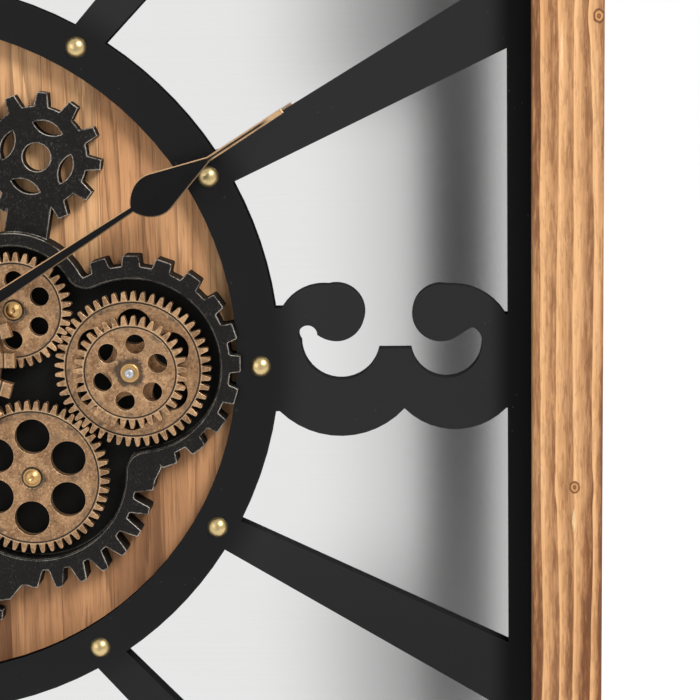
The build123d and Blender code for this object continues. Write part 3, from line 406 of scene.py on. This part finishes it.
def black_board_finish(colours):
    """Satin black paint with dust-fine specks, a painted highlight on the cut edges, and painted light that
    makes the board lighter outside the ring and towards the top.
    """
    finish = Finish("satin_black", specular_ior_level=0.0, coat_roughness=0.3)
    place = finish.place()
    grain = finish.noise(place, 2600, 3.0, 0.6)
    cloud = finish.noise(place, 9, 2.0)
    dust = (1 - finish.specks(place, 230).step(0.04, 0.12)) * finish.noise(place, 47, 2.0).step(0.5, 0.62)
    # Painted highlight along the cut edges, in patches
    rubbed = finish.edges(0.0003) * finish.noise(place, 60, 2.0).step(0.4, 0.7)
    face = abs(finish.axis("Y", finish.facing())).step(0.8, 0.95)
    border = abs(finish.axis("X")).step(*BORDER_SIDE).most(abs(finish.axis("Z")).step(*BORDER_END))
    # Painted light: lighter paint outside the ring, the more so towards the top
    lit = finish.reach(place).step(*LIT_REACH) * (0.4 + finish.axis("Z").step(*LIT_HEIGHT) * 0.6)
    tone = finish.blend(lit * 0.8, colours.board_black, colours.board_lit)
    tone = finish.blend(border * 0.85, tone, (0, 0, 0))
    tone = finish.blend(dust * 0.6, tone, colours.board_dust)
    finish.set("Base Color", finish.blend(rubbed * 0.2, tone, colours.board_edge_highlight))
    finish.set("Coat Weight", face * (0.3 + cloud * 0.14) * (1 - border * 0.5))
    finish.relief(grain, distance=0.00008, strength=0.3)
    return finish


def brushed_finish(colours):
    """Aluminium brushed from side to side."""
    finish = Finish("brushed_sheet", metallic=1.0)
    lines = finish.noise(finish.place((24, 24, 5200)), 1.0, 3.0, 0.7)
    long_lines = finish.noise(finish.place((5, 5, 1400)), 1.0, 2.0, 0.6)
    tone = finish.blend(lines * 0.6 + long_lines * 0.4, colours.sheet_dark, colours.sheet_light)
    finish.set("Base Color", tone)
    finish.set("Roughness", 0.06 + lines * 0.01)
    finish.relief(lines + long_lines * 0.3, distance=0.000003, strength=0.35)
    return finish


def charcoal_finish(colours):
    """Cast charcoal with silver rubbed on its edges."""
    finish = Finish("charcoal_cast", specular_ior_level=0.12)
    place = finish.place()
    grit = finish.noise(place, 1500, 3.0, 0.7)
    patch = finish.noise(place, 130, 3.0, 0.6)
    drag = finish.noise(finish.place((1300, 1300, 800)), 1.0, 3.0, 0.7)
    rub = finish.edges(0.0011) * (patch * 0.6 + grit * 0.4).step(0.36, 0.58)
    fleck = drag.step(0.52, 0.7) * patch.step(0.36, 0.7)
    front = finish.axis("Y").step(*TRAY_RIM)
    rim = finish.blend(grit.step(0.35, 0.75), colours.tray_black, colours.tray_grey)
    tone = finish.blend(front, colours.tray_floor, rim)
    tone = finish.blend(fleck * front * 0.5, tone, colours.tray_fleck)
    finish.set("Base Color", finish.blend(rub * (0.3 + front * 0.7), tone, colours.tray_silver))
    finish.set("Metallic", rub * 0.5)
    finish.set("Roughness", 0.6 - rub * 0.2 + grit * 0.1)
    finish.relief(grit + patch * 0.4, distance=0.00035, strength=0.55, softened=0.0005)
    return finish


def bronze_finish(name, node, centre, hub, colours, sizes, brown=0.0):
    """Antique bronze on a gear: patina with painted shade in the groove and round the hub, and a painted
    highlight on the edges and on a ring beside the groove.
    """
    finish = Finish(name)
    low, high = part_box(node)
    tip = (high[0] - low[0]) / 2
    place = finish.place(centre=(centre[0], 0, centre[2]))
    reach = finish.reach(place)
    mottle = finish.noise(place, 150, 4.0, 0.62)
    patch = finish.noise(place, 60, 3.0, 0.6)
    grain = finish.noise(place, 1050, 3.0, 0.65)
    scratch = finish.noise(finish.place((260, 260, 2600), turn=(0, 0.7, 0)), 1.0, 2.0, 0.6)
    groove = tip - sizes.groove_inset
    # Patina and painted shade in the groove
    in_groove = 1 - abs(reach - groove).step(0.0002, 0.00055)
    # Ring beside the groove: a painted highlight, and a raised band in the bump
    ring = 1 - abs(reach - groove - 0.0007).step(0.0001, 0.0005)
    by_groove = (1 - abs(reach - groove + 0.001).step(0.0004, 0.0026)) * mottle.step(0.48, 0.64)
    # Patina and painted shade round the pin
    by_hub = 1 - (reach + (mottle - 0.5) * 0.006 + (grain - 0.5) * 0.002).step(hub * MM, (hub + 2) * MM)
    smudge = patch.step(0.52, 0.72) * mottle.step(0.42, 0.66)
    # Painted highlight on the gear's edges
    rub = finish.edges(0.0005)
    tone = finish.blend(mottle.step(0.3, 0.72) * (1 - brown), colours.bronze_dark, colours.bronze)
    tone = finish.blend(grain.step(0.54, 0.7) * 0.4, tone, colours.bronze_light)
    tone = finish.blend((1 - grain.step(0.32, 0.46)) * 0.5, tone, colours.patina)
    tone = finish.blend(scratch.step(0.62, 0.72) * 0.3, tone, colours.patina)
    patina_and_painted_shade = (by_groove * 0.7).most(smudge * (0.55 + brown * 0.5)).most(by_hub * 0.85).most(in_groove * 0.95)
    tone = finish.blend(patina_and_painted_shade, tone, colours.patina)
    painted_highlight = rub.most(ring * 0.5) * (1 - in_groove)
    finish.set("Base Color", finish.blend(painted_highlight * 0.6, tone, colours.bronze_light))
    finish.set("Metallic", 0.8 - patina_and_painted_shade * 0.5)
    finish.set("Roughness", 0.44 + mottle * 0.14 - painted_highlight * 0.1)
    height = grain * 0.7 + mottle * 0.4 + ring * 0.3 - in_groove
    finish.relief(height, distance=0.0002, strength=0.5, softened=0.00035)
    return finish


def metal_finish(name, colour, roughness, scratch=0.15, soft=0.0002):
    """Plain turned or plated metal with fine scratches."""
    finish = Finish(name, metallic=1.0)
    place = finish.place()
    cloud = finish.noise(place, 140, 3.0, 0.6)
    scuff = finish.noise(finish.place((300, 300, 2400)), 1.0, 2.0, 0.6)
    dull = tuple(channel * 0.62 for channel in colour)
    finish.set("Base Color", finish.blend(cloud.step(0.45, 0.85) * 0.6, colour, dull))
    finish.set("Roughness", roughness + cloud * scratch)
    finish.relief(scuff, distance=0.00003, strength=0.3, softened=soft)
    return finish


def hand_finish(name, angle, spade, colours):
    """Black face with copper on the bevels and along the needle, more copper on the upward bevels as painted
    light, and a faint ridge.
    """
    finish = Finish(name, specular_ior_level=0.1)
    place = finish.place(turn=(0, angle, 0))
    along = finish.axis("X", place)
    aside = abs(finish.axis("Z", place))
    grain = finish.noise(place, 1500, 3.0, 0.6)
    normal = finish.facing()
    facing = abs(finish.axis("Y", normal))
    # Painted light: bevels that face up carry more copper
    painted_light_from_above = finish.axis("Z", normal).step(-0.3, 0.3)
    bevel = (1 - facing.step(0.86, 0.97)) * (0.3 + painted_light_from_above * 0.7)
    worn = finish.noise(place, 90, 3.0).step(0.25, 0.5)
    tip = along.step(spade + 0.024, spade + 0.03)
    needle = along.step(spade - 0.003, spade + 0.002) * aside.step(0.0001, 0.0009).most(tip)
    copper = finish.blend(grain, colours.copper, colours.bronze_light)
    share = (bevel * (0.6 + worn * 0.4)).most(needle * (0.45 + worn * 0.4))
    finish.set("Base Color", finish.blend(share, colours.board_black, copper))
    finish.set("Metallic", share * 0.85)
    finish.set("Roughness", 0.4 + grain * 0.1)
    ridge = 1 - aside.step(0.0, 0.006)
    finish.relief(grain * 0.1 + ridge, distance=0.0006, strength=0.35)
    return finish


def plastic_finish(name, colour, roughness=0.45):
    """Moulded plastic with a spark-eroded texture, and a painted highlight that lightens its edges."""
    finish = Finish(name, specular_ior_level=0.5)
    place = finish.place()
    spark = finish.noise(place, 2200, 3.0, 0.6)
    cloud = finish.noise(place, 40, 2.0)
    lighter_tone_and_highlight = tuple(min(1, channel * 1.5 + 0.01) for channel in colour)
    # Edges painted lighter as a highlight; clouds of lighter tone at random
    finish.set("Base Color", finish.blend(finish.edges(0.0005) * 0.5 + cloud * 0.2, colour, lighter_tone_and_highlight))
    finish.set("Roughness", roughness + spark * 0.15)
    finish.relief(spark, distance=0.00012, strength=0.4, softened=0.0005)
    return finish


def hardboard_finish(colours):
    """Hardboard with matted fibres."""
    finish = Finish("hardboard", specular_ior_level=0.25)
    place = finish.place()
    fibre = finish.noise(place, 700, 5.0, 0.7, 1.2)
    cloud = finish.noise(place, 12, 3.0)
    tone = finish.blend(fibre.step(0.3, 0.7), colours.back_dark, colours.back_light)
    finish.set("Base Color", finish.blend(cloud.step(0.4, 0.8) * 0.35, tone, colours.back_dark))
    finish.set("Roughness", 0.66 + fibre * 0.15)
    finish.relief(fibre, distance=0.0002, strength=0.4)
    return finish


# Modelling


def ready(obj):
    """Select one object alone and make it active."""
    bpy.ops.object.select_all(action="DESELECT")
    obj.select_set(True)
    bpy.context.view_layer.objects.active = obj


def lathe(radius, tail, length, level, axis, sides=48):
    """Turned blank along Y or X that ends at a level, with its own mesh and no turn left on it."""
    turn = (-math.pi / 2, 0, 0) if axis == "Y" else (0, math.pi / 2, 0)
    middle = level - length / 2
    bpy.ops.object.select_all(action="DESELECT")
    bpy.ops.mesh.primitive_cone_add(
        vertices=sides,
        radius1=tail,
        radius2=radius,
        depth=length,
        rotation=turn,
        location=(0, middle, 0) if axis == "Y" else (middle, 0, 0),
    )
    bpy.ops.object.transform_apply(location=True, rotation=True, scale=True)
    return bpy.context.object


def choose(obj, keep):
    """Select the faces of an object that a test keeps, in edit mode."""
    ready(obj)
    bpy.ops.object.mode_set(mode="EDIT")
    bpy.ops.mesh.select_mode(type="FACE")
    bpy.ops.mesh.select_all(action="DESELECT")
    bpy.ops.object.mode_set(mode="OBJECT")
    chosen = [face for face in obj.data.polygons if keep(face)]
    if not chosen:
        raise RuntimeError(f"no face of {obj.name} was chosen")
    for face in chosen:
        face.select = True
    bpy.ops.object.mode_set(mode="EDIT")


def inset(thickness, depth=0.0, individual=False):
    """Inset the chosen faces."""
    bpy.ops.mesh.inset(
        thickness=thickness,
        depth=depth,
        use_individual=individual,
        use_boundary=True,
        use_even_offset=True,
        use_relative_offset=False,
        use_outset=False,
        use_interpolate=False,
    )


def push(value):
    """Extrude the chosen faces by a vector."""
    bpy.ops.mesh.extrude_region_move(TRANSFORM_OT_translate={"value": value})


def done(obj, angle=35):
    """Leave edit mode with clean normals, smooth but for the sharp edges."""
    bpy.ops.mesh.select_all(action="SELECT")
    bpy.ops.mesh.normals_make_consistent(inside=False)
    bpy.ops.object.mode_set(mode="OBJECT")
    ready(obj)
    bpy.ops.object.shade_smooth_by_angle(angle=math.radians(angle))


def soften(obj, width):
    """Bevel the sharp edges."""
    ready(obj)
    bevel = obj.modifiers.new("soften", "BEVEL")
    bevel.width = width
    bevel.segments = 2
    bevel.limit_method = "ANGLE"
    bevel.angle_limit = math.radians(40)
    bpy.ops.object.modifier_apply(modifier=bevel.name)


def seats(node, spread):
    """Middles (x, z) of the like solids of a CAD node, which stand further apart than spread."""
    groups = []
    for vertex in frame["nodes"][node].data.vertices:
        for group in groups:
            if math.hypot(vertex.co.x - group[0].x, vertex.co.z - group[0].z) < spread:
                group.append(vertex.co)
                break
        else:
            groups.append([vertex.co])
    middles = []
    for group in groups:
        across = [corner.x for corner in group]
        up = [corner.z for corner in group]
        middles.append(((min(across) + max(across)) / 2, (min(up) + max(up)) / 2))
    return middles


def repeat(obj, places):
    """Copies of an object at (x, z) places, joined into one."""
    copies = [obj]
    for x, z in places[1:]:
        ready(obj)
        bpy.ops.object.duplicate(linked=False)
        bpy.ops.transform.translate(value=(x, 0, z))
        copies.append(bpy.context.object)
    ready(obj)
    bpy.ops.transform.translate(value=(places[0][0], 0, places[0][1]))
    for copy in copies:
        copy.select_set(True)
    if len(copies) > 1:
        bpy.ops.object.join()
    bpy.ops.object.transform_apply(location=True, rotation=True, scale=True)
    return bpy.context.object


def stand_for(obj, node, body, slot, *finishes):
    """Put an object in the place of a CAD node."""
    obj.name = f"{node}_turned"
    obj.data.name = obj.name
    for finish in finishes:
        obj.data.materials.append(finish.material)
    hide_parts(node)
    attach(obj, body)


# Settings that a user would change


def colour_property(name, description, screen):
    """Colour whose default is given as it shows on a screen."""
    return FloatVectorProperty(
        name=name, description=description, subtype="COLOR", size=3, min=0, max=1, default=linear(*screen)
    )


def length_property(name, description, default):
    """Small length in metres."""
    return FloatProperty(name=name, description=description, default=default, unit="LENGTH", precision=5)


class ClockColours(PropertyGroup):
    """Colours of the finishes."""

    fir_light: colour_property("Fir, early wood", "Pale wood between the grain lines", (234, 182, 130))
    fir_mid: colour_property("Fir, fibres", "Fibres in the pale wood", (196, 140, 88))
    fir_dark: colour_property("Fir, late wood", "Scorched grain lines", (124, 76, 42))
    fir_resin: colour_property("Fir, resin", "Pale resin below the knots", (236, 200, 152))
    fir_knot: colour_property("Fir, knots", "Rings of the knots and soot in the grain", (92, 56, 32))
    disc_light: colour_property("Disc, light", "Lightest boards of the disc", (240, 189, 136))
    disc_mid: colour_property("Disc, middle", "Usual colour of the disc", (210, 154, 107))
    disc_dark: colour_property("Disc, dark", "Pores and dark boards of the disc", (98, 62, 39))
    disc_joint: colour_property("Disc, joints", "Lines between the boards", (92, 60, 40))
    board_black: colour_property("Black paint", "Dial board and faces of the hands", (13, 13, 14))
    # Colour of the painted light on the bars and numerals
    board_lit: colour_property("Black paint, lit", "Bars and numerals of the dial board", (38, 38, 39))
    board_dust: colour_property("Black paint, dust", "Specks on the dial board", (72, 72, 74))
    # Colour of the painted highlight on the dial board's edges
    board_edge_highlight: colour_property("Black paint, edges", "Rubbed edges of the dial board", (104, 104, 105))
    sheet_light: colour_property("Sheet, light", "Brushed sheet between the lines", (244, 244, 244))
    sheet_dark: colour_property("Sheet, dark", "Brush lines of the sheet", (236, 236, 235))
    tray_black: colour_property("Tray, dark", "Charcoal of the tray's rim", (17, 16, 15))
    tray_grey: colour_property("Tray, grey", "Grit on the tray's rim", (32, 30, 28))
    tray_floor: colour_property("Tray, floor", "Bottom of the tray's pockets", (12, 12, 11))
    tray_fleck: colour_property("Tray, flecks", "Silver dragged over the tray's rim", (92, 88, 82))
    tray_silver: colour_property("Tray, edges", "Silver rubbed on the tray's edges", (214, 204, 190))
    bronze: colour_property("Bronze", "Faces of the gears", (192, 152, 112))
    bronze_dark: colour_property("Bronze, dark", "Mottling on the gears", (134, 100, 70))
    # Also the colour of the gears' painted highlight on their edges and ring
    bronze_light: colour_property("Bronze, light", "Rubbed edges of the gears", (236, 204, 164))
    # Also the painted shade in the gears' grooves and round the pins
    patina: colour_property("Patina", "Dark film in grooves and round pins", (44, 34, 27))
    copper: colour_property("Copper", "Bevels of the hands", (196, 146, 100))
    brass: colour_property("Brass", "Studs, cap, nuts and pipes", (192, 170, 122))
    pin_brass: colour_property("Pins", "Turned pins and bushes of the gears", (186, 150, 100))
    steel: colour_property("Steel", "Screws, plates and shafts", (190, 192, 196))
    jacket: colour_property("Cell jacket", "Jacket of the dry cells", (74, 80, 92))
    back_light: colour_property("Back, light", "Fibres of the back board", (150, 112, 76))
    back_dark: colour_property("Back, dark", "Body of the back board", (104, 72, 46))
    works_black: colour_property("Works, black", "Movement and battery box", (38, 38, 40))
    motor_grey: colour_property("Works, grey", "Case of the motor", (58, 58, 60))
    lead_black: colour_property("Lead", "Jacket of the motor's lead", (30, 30, 31))
    knob_black: colour_property("Knob", "Setting knob", (44, 44, 46))


class ClockSizes(PropertyGroup):
    """Sizes of the small details."""

    board_width: length_property("Board width", "Width of a board of the disc", 0.0235)
    groove_inset: length_property("Groove inset", "From a gear's tooth tips to its engraved ring", 0.00475)
    screw_radius: length_property("Screw head", "Radius of a screw's head", 0.0032)
    recess_reach: length_property("Recess width", "Width of the driver's cross", 0.0036)
    recess_depth: length_property("Recess depth", "Depth of the driver's cross", 0.0009)
    soft_edge: length_property("Soft edge", "Rounding of round heads and of the cells' rims", 0.0004)
    terminal_radius: length_property("Terminal", "Radius of a cell's raised terminal", 0.0027)
    terminal_height: length_property("Terminal height", "Height of a cell's terminal", 0.0012)
    knob_height: length_property("Knob height", "Height of the knob's grip", 0.003)
    knob_shaft: length_property("Knob shaft", "Radius of the knob's shaft", 0.0015)
    lens: FloatProperty(name="Lens", description="Focal length of the camera", default=106.29, unit="CAMERA")


# Operators


def settings(context):
    return context.scene.clock_colours, context.scene.clock_sizes


class CLOCK_OT_frame(Operator):
    """Grain on the rails and battens of the frame"""

    bl_idname = "clock.frame"
    bl_label = "Frame"

    def execute(self, context):
        colours = context.scene.clock_colours
        dress(fir_finish("fir_upright", "Z", colours, KNOTS, STREAKS), "rail_left", "rail_right")
        dress(fir_finish("fir_level", "X", colours), "rail_top", "rail_bottom", "batten_top", "batten_bottom")
        dress(fir_finish("fir_batten", "Z", colours), "batten_left", "batten_right")
        return {"FINISHED"}


class CLOCK_OT_boards(Operator):
    """Dial board, brushed sheet, planked disc and back board"""

    bl_idname = "clock.boards"
    bl_label = "Boards"

    def execute(self, context):
        colours, sizes = settings(context)
        dress(black_board_finish(colours), "dial_plate")
        dress(brushed_finish(colours), "silver_panel")
        dress(plank_finish(colours, sizes), "wood_disc")
        dress(hardboard_finish(colours), "back_panel")
        return {"FINISHED"}


class CLOCK_OT_gears(Operator):
    """Tray and bronze gears"""

    bl_idname = "clock.gears"
    bl_label = "Gears"

    def execute(self, context):
        colours, sizes = settings(context)
        dress(charcoal_finish(colours), "gear_tray")
        for body, members in GEARS.items():
            brown = LOWER_BROWN if body.startswith("lower") else 0.0
            for node, hub in members:
                name = f"bronze_{node}"
                dress(bronze_finish(name, node, JOINT_PLACE[body], hub, colours, sizes, brown), node)
        return {"FINISHED"}


class CLOCK_OT_metals(Operator):
    """Studs, pins, bushes, shafts and fittings"""

    bl_idname = "clock.metals"
    bl_label = "Metals"

    def execute(self, context):
        colours = context.scene.clock_colours
        brass = metal_finish("polished_brass", colours.brass, roughness=0.26)
        dress(brass, "dial_studs", "hand_cap", "movement_neck", "fixing_nut", "front_nut")
        dress(brass, "hour_pipe", "minute_arbor")
        turned = metal_finish("turned_brass", colours.pin_brass, roughness=0.34)
        dress(turned, "idler_pins", "gear_bush_right", "gear_bush_left", "centre_sleeve")
        steel = metal_finish("zinc_steel", colours.steel, roughness=0.34)
        dress(steel, "drive_shaft", "left_axle", "corner_braces")
        dress(steel, "hanger_left", "hanger_right", "battery_contacts")
        return {"FINISHED"}


class CLOCK_OT_screws(Operator):
    """Wood screws with cross recesses and points"""

    bl_idname = "clock.screws"
    bl_label = "Screws"

    # Shares of the head's radius: radius of the shank, height of a sunk head and of a round one
    SHANK = 0.47
    SUNK_HEIGHT = 0.5
    ROUND_HEIGHT = 0.56
    # Shares of the shank's radius: length of the point and radius of its end
    POINT = 2
    POINT_END = 0.1
    # Least distance between two screws of a node
    SPREAD = 0.008

    def recess(self, screw, level, sizes):
        """Cut the cross of a driver into a head."""
        for turn in (0, math.pi / 2):
            bpy.ops.object.select_all(action="DESELECT")
            bpy.ops.mesh.primitive_cube_add(size=1, location=(0, level, 0), rotation=(0, turn, 0))
            cutter = bpy.context.object
            cutter.scale = (sizes.recess_reach, 2 * sizes.recess_depth, sizes.recess_reach / 4)
            cut = screw.modifiers.new("recess", "BOOLEAN")
            cut.operation = "DIFFERENCE"
            cut.object = cutter
            ready(screw)
            bpy.ops.object.modifier_apply(modifier=cut.name)
            ready(cutter)
            bpy.ops.object.delete()

    def execute(self, context):
        colours, sizes = settings(context)
        zinc = metal_finish("zinc_screws", colours.steel, roughness=0.3)
        for node in ("brace_screws", "hanger_screws", "back_screws", "tray_screws"):
            low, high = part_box(node)
            sunk = node != "tray_screws"
            head = sizes.screw_radius
            shank = head * self.SHANK
            height = head * (self.SUNK_HEIGHT if sunk else self.ROUND_HEIGHT)
            point = shank * self.POINT
            screw = lathe(head, shank if sunk else head, height, high[1], "Y")
            choose(screw, lambda face: face.normal.y < -SQUARE)
            if not sunk:
                inset(head - shank)
            push((0, low[1] - high[1] + height + point, 0))
            push((0, -point, 0))
            narrow = (self.POINT_END, 1, self.POINT_END)
            bpy.ops.transform.resize(value=narrow, center_override=(0, low[1], 0))
            done(screw)
            if not sunk:
                soften(screw, sizes.soft_edge)
            self.recess(screw, high[1], sizes)
            stand_for(repeat(screw, seats(node, self.SPREAD)), node, "case", "steel", zinc)
        return {"FINISHED"}


class CLOCK_OT_cells(Operator):
    """Dry cells with a rim, a recessed base and a raised terminal"""

    bl_idname = "clock.cells"
    bl_label = "Cells"

    # Width of the base's rim as a share of the cell's radius
    RIM = 0.3
    # Depth of the base as a share of the terminal's height
    BASE = 0.4

    def execute(self, context):
        colours, sizes = settings(context)
        jacket = plastic_finish("cell_jacket", colours.jacket, roughness=0.3)
        tin = metal_finish("tin_plate", colours.steel, roughness=0.28)
        for node in ("battery_cells", "movement_cell"):
            low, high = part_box(node)
            radius = (high[1] - low[1]) / 2
            end = high[0] - sizes.terminal_height
            cell = lathe(radius, radius, end - low[0], end, "X")
            choose(cell, lambda face: face.normal.x > SQUARE)
            inset(radius - sizes.terminal_radius)
            push((sizes.terminal_height, 0, 0))
            bpy.ops.object.mode_set(mode="OBJECT")
            choose(cell, lambda face: face.normal.x < -SQUARE)
            inset(radius * self.RIM)
            push((sizes.terminal_height * self.BASE, 0, 0))
            done(cell)
            soften(cell, sizes.soft_edge)
            cell.data.materials.append(jacket.material)
            cell.data.materials.append(tin.material)
            choose(cell, lambda face: abs(face.normal.x) > SQUARE or face.center.x > end)
            cell.active_material_index = 1
            bpy.ops.object.material_slot_assign()
            done(cell)
            rows = [(low[2] + high[2]) / 2]
            if node == "battery_cells":
                rows = [low[2] + radius, high[2] - radius]
            bpy.ops.transform.translate(value=(0, (low[1] + high[1]) / 2, 0))
            stand_for(repeat(cell, [(0, row) for row in rows]), node, "case", "cell_jacket")
        return {"FINISHED"}


class CLOCK_OT_knob(Operator):
    """Fluted setting knob with a dished face"""

    bl_idname = "clock.knob"
    bl_label = "Knob"

    # Sides of the grip, of which every second one is a flute
    SIDES = 72
    # Shares of the knob's radius: margin of a flute, its depth, and the rim round the dish
    FLUTE_MARGIN = 0.008
    FLUTE_DEPTH = 0.06
    RIM = 0.2
    # Depth of the dish as a share of the grip's height
    DISH = 0.2
    # Faces nearer than this to an end of the grip are in that end
    TOUCH = 1e-6

    def execute(self, context):
        colours, sizes = settings(context)
        low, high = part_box("set_knob")
        radius = (high[0] - low[0]) / 2
        height = sizes.knob_height
        knob = lathe(radius, radius, height, high[1], "Y", sides=self.SIDES)
        choose(knob, lambda face: abs(face.normal.y) < 1 - SQUARE and face.index % 2)
        inset(radius * self.FLUTE_MARGIN, depth=-radius * self.FLUTE_DEPTH, individual=True)
        bpy.ops.object.mode_set(mode="OBJECT")
        choose(knob, lambda face: face.center.y > high[1] - self.TOUCH)
        inset(radius * self.RIM)
        push((0, -height * self.DISH, 0))
        bpy.ops.object.mode_set(mode="OBJECT")
        choose(knob, lambda face: face.center.y < high[1] - height + self.TOUCH)
        inset(radius - sizes.knob_shaft)
        push((0, low[1] - high[1] + height, 0))
        done(knob)
        place = ((low[0] + high[0]) / 2, (low[2] + high[2]) / 2)
        moulded = plastic_finish("moulded_knob", colours.knob_black)
        stand_for(repeat(knob, [place]), "set_knob", "knob", "knob_plastic", moulded)
        return {"FINISHED"}


class CLOCK_OT_hands(Operator):
    """Black hands with copper bevels"""

    bl_idname = "clock.hands"
    bl_label = "Hands"

    def execute(self, context):
        colours = context.scene.clock_colours
        for name, angle, spade in HANDS:
            dress(hand_finish(f"{name}_black", math.radians(angle), spade, colours), name)
        return {"FINISHED"}


class CLOCK_OT_works(Operator):
    """Movement, motor, battery box and lead"""

    bl_idname = "clock.works"
    bl_label = "Works"

    def execute(self, context):
        colours = context.scene.clock_colours
        black = plastic_finish("moulded_black", colours.works_black)
        dress(black, "movement_case", "movement_cover", "battery_box")
        grey = plastic_finish("moulded_grey", colours.motor_grey)
        dress(grey, "motor_case", "motor_cover")
        dress(plastic_finish("lead_jacket", colours.lead_black, roughness=0.5), "motor_lead")
        return {"FINISHED"}


class CLOCK_OT_stage(Operator):
    """Pale floor, soft light and the camera of the photograph"""

    bl_idname = "clock.stage"
    bl_label = "Stage"

    # Side of the floor, its middle behind the clock, and the gap below the frame
    FLOOR_SIDE = 8
    FLOOR_BACK = 3.4
    FLOOR_GAP = 0.0005
    # Floor's own grey, and the glow that the camera and mirrors see
    FLOOR_GREY = (0.8, 0.8, 0.8)
    FLOOR_GLOW = (0.66, 0.66, 0.66)
    BLACK = (0, 0, 0)
    WHITE = (1, 1, 1)
    # Light of the world on all that isn't a mirror
    ROOM = 0.42
    # Lamps: name, place, side in metres and power in watts
    LAMPS = (("key", (1.15, -1.25, 1.25), 0.7, 36), ("fill", (-1.4, -1.6, 0.4), 1.4, 9))
    # Camera: place, turn in degrees and width of the sensor in millimetres
    CAMERA_PLACE = (0.239785, -0.9176, 0.149022)
    CAMERA_TURN = (80.4511, 0.8894, 2.9610)
    SENSOR = 36

    def floor(self):
        """Pale floor that mirrors see as a plain glow."""
        bpy.ops.object.select_all(action="DESELECT")
        place = (0, self.FLOOR_BACK, cad_box[0][2] - self.FLOOR_GAP)
        bpy.ops.mesh.primitive_plane_add(size=self.FLOOR_SIDE, location=place)
        floor = bpy.context.object
        floor.name = "floor"
        pale = Finish("pale_floor", roughness=0.8, specular_ior_level=0.1, emission_strength=1.0)
        pale.set("Base Color", self.FLOOR_GREY)
        seen = pale.ray("Camera", "Glossy", "Transmission")
        pale.set("Emission Color", pale.blend(seen, self.BLACK, self.FLOOR_GLOW))
        floor.data.materials.append(pale.material)

    def studio(self, scene):
        """White world in which mirrors see a dark card with bright ones to its left and right."""
        scene.world = bpy.data.worlds.new("studio")
        studio = Shading(scene.world)
        way = studio.node("ShaderNodeTexCoord", out="Generated")
        depth = studio.axis("Y", way)
        ahead = depth.least(-0.05) * -1
        # Slopes of a mirrored ray, to the right and upward from the dark card's middle
        slant = studio.axis("X", way) / ahead
        height = studio.axis("Z", way) / ahead + 0.12
        # The left card is dimmer at its ends, next to the dark card
        ends = height.step(0.05, 0.1).most((height * -1).step(0.125, 0.19) * 0.7)
        dim = ends * (1 - (slant * -1).step(0.02, 0.11)) * 0.6
        left = (slant * -1).step(0.009, 0.028) * 0.66 + (slant * -1).step(0.02, 0.08) * 0.24
        right = slant.step(0.013, 0.018) * 0.66 + slant.step(0.06, 0.3) * 0.22
        card = 0.01 + (left * (1 - dim)).most(right).most(abs(height).step(0.0, 0.26) * 0.12)
        mirrored = card + (1 - card) * depth.step(-0.4, 0.0)
        level = self.ROOM + studio.ray("Glossy") * (mirrored - self.ROOM)
        level = level.most(studio.ray("Camera", "Transmission"))
        background = studio.node("ShaderNodeBackground", None, {"Color": self.WHITE, "Strength": level})
        studio.show("ShaderNodeOutputWorld", background.socket)

    def lamp(self, name, place, side, power):
        """Square lamp that points at the middle of the clock."""
        bpy.ops.object.light_add(type="AREA", location=place)
        lamp = bpy.context.object
        lamp.name = name
        lamp.data.shape = "SQUARE"
        lamp.data.size = side
        lamp.data.energy = power
        aim = [-value for value in place]
        lamp.rotation_euler = Vector(aim).to_track_quat("-Z", "Y").to_euler()

    def camera(self, scene, lens):
        """Camera of the photograph."""
        turn = [math.radians(angle) for angle in self.CAMERA_TURN]
        bpy.ops.object.camera_add(location=self.CAMERA_PLACE, rotation=turn)
        camera = bpy.context.object
        camera.name = "camera"
        camera.data.sensor_width = self.SENSOR
        camera.data.lens = lens
        scene.camera = camera

    def execute(self, context):
        context.scene.view_settings.view_transform = "Standard"
        self.floor()
        self.studio(context.scene)
        for lamp in self.LAMPS:
            self.lamp(*lamp)
        self.camera(context.scene, context.scene.clock_sizes.lens)
        return {"FINISHED"}


class CLOCK_PT_panel(Panel):
    """Steps of the clock, in order"""

    bl_label = "Gear wall clock"
    bl_idname = "CLOCK_PT_panel"
    bl_space_type = "VIEW_3D"
    bl_region_type = "UI"
    bl_category = "Clock"

    def draw(self, context):
        for step in STEPS:
            self.layout.operator(step.bl_idname)


STEPS = (
    CLOCK_OT_frame,
    CLOCK_OT_boards,
    CLOCK_OT_gears,
    CLOCK_OT_metals,
    CLOCK_OT_screws,
    CLOCK_OT_hands,
    CLOCK_OT_works,
    CLOCK_OT_cells,
    CLOCK_OT_knob,
    CLOCK_OT_stage,
)
CLASSES = (ClockColours, ClockSizes, *STEPS, CLOCK_PT_panel)


def register():
    for cls in CLASSES:
        bpy.utils.register_class(cls)
    bpy.types.Scene.clock_colours = PointerProperty(type=ClockColours)
    bpy.types.Scene.clock_sizes = PointerProperty(type=ClockSizes)


def unregister():
    del bpy.types.Scene.clock_sizes
    del bpy.types.Scene.clock_colours
    for cls in reversed(CLASSES):
        bpy.utils.unregister_class(cls)


def main():
    register()
    bpy.ops.clock.frame()
    bpy.ops.clock.boards()
    bpy.ops.clock.gears()
    bpy.ops.clock.metals()
    bpy.ops.clock.screws()
    bpy.ops.clock.hands()
    bpy.ops.clock.works()
    bpy.ops.clock.cells()
    bpy.ops.clock.knob()
    bpy.ops.clock.stage()


if __name__ == "__main__":
    main()
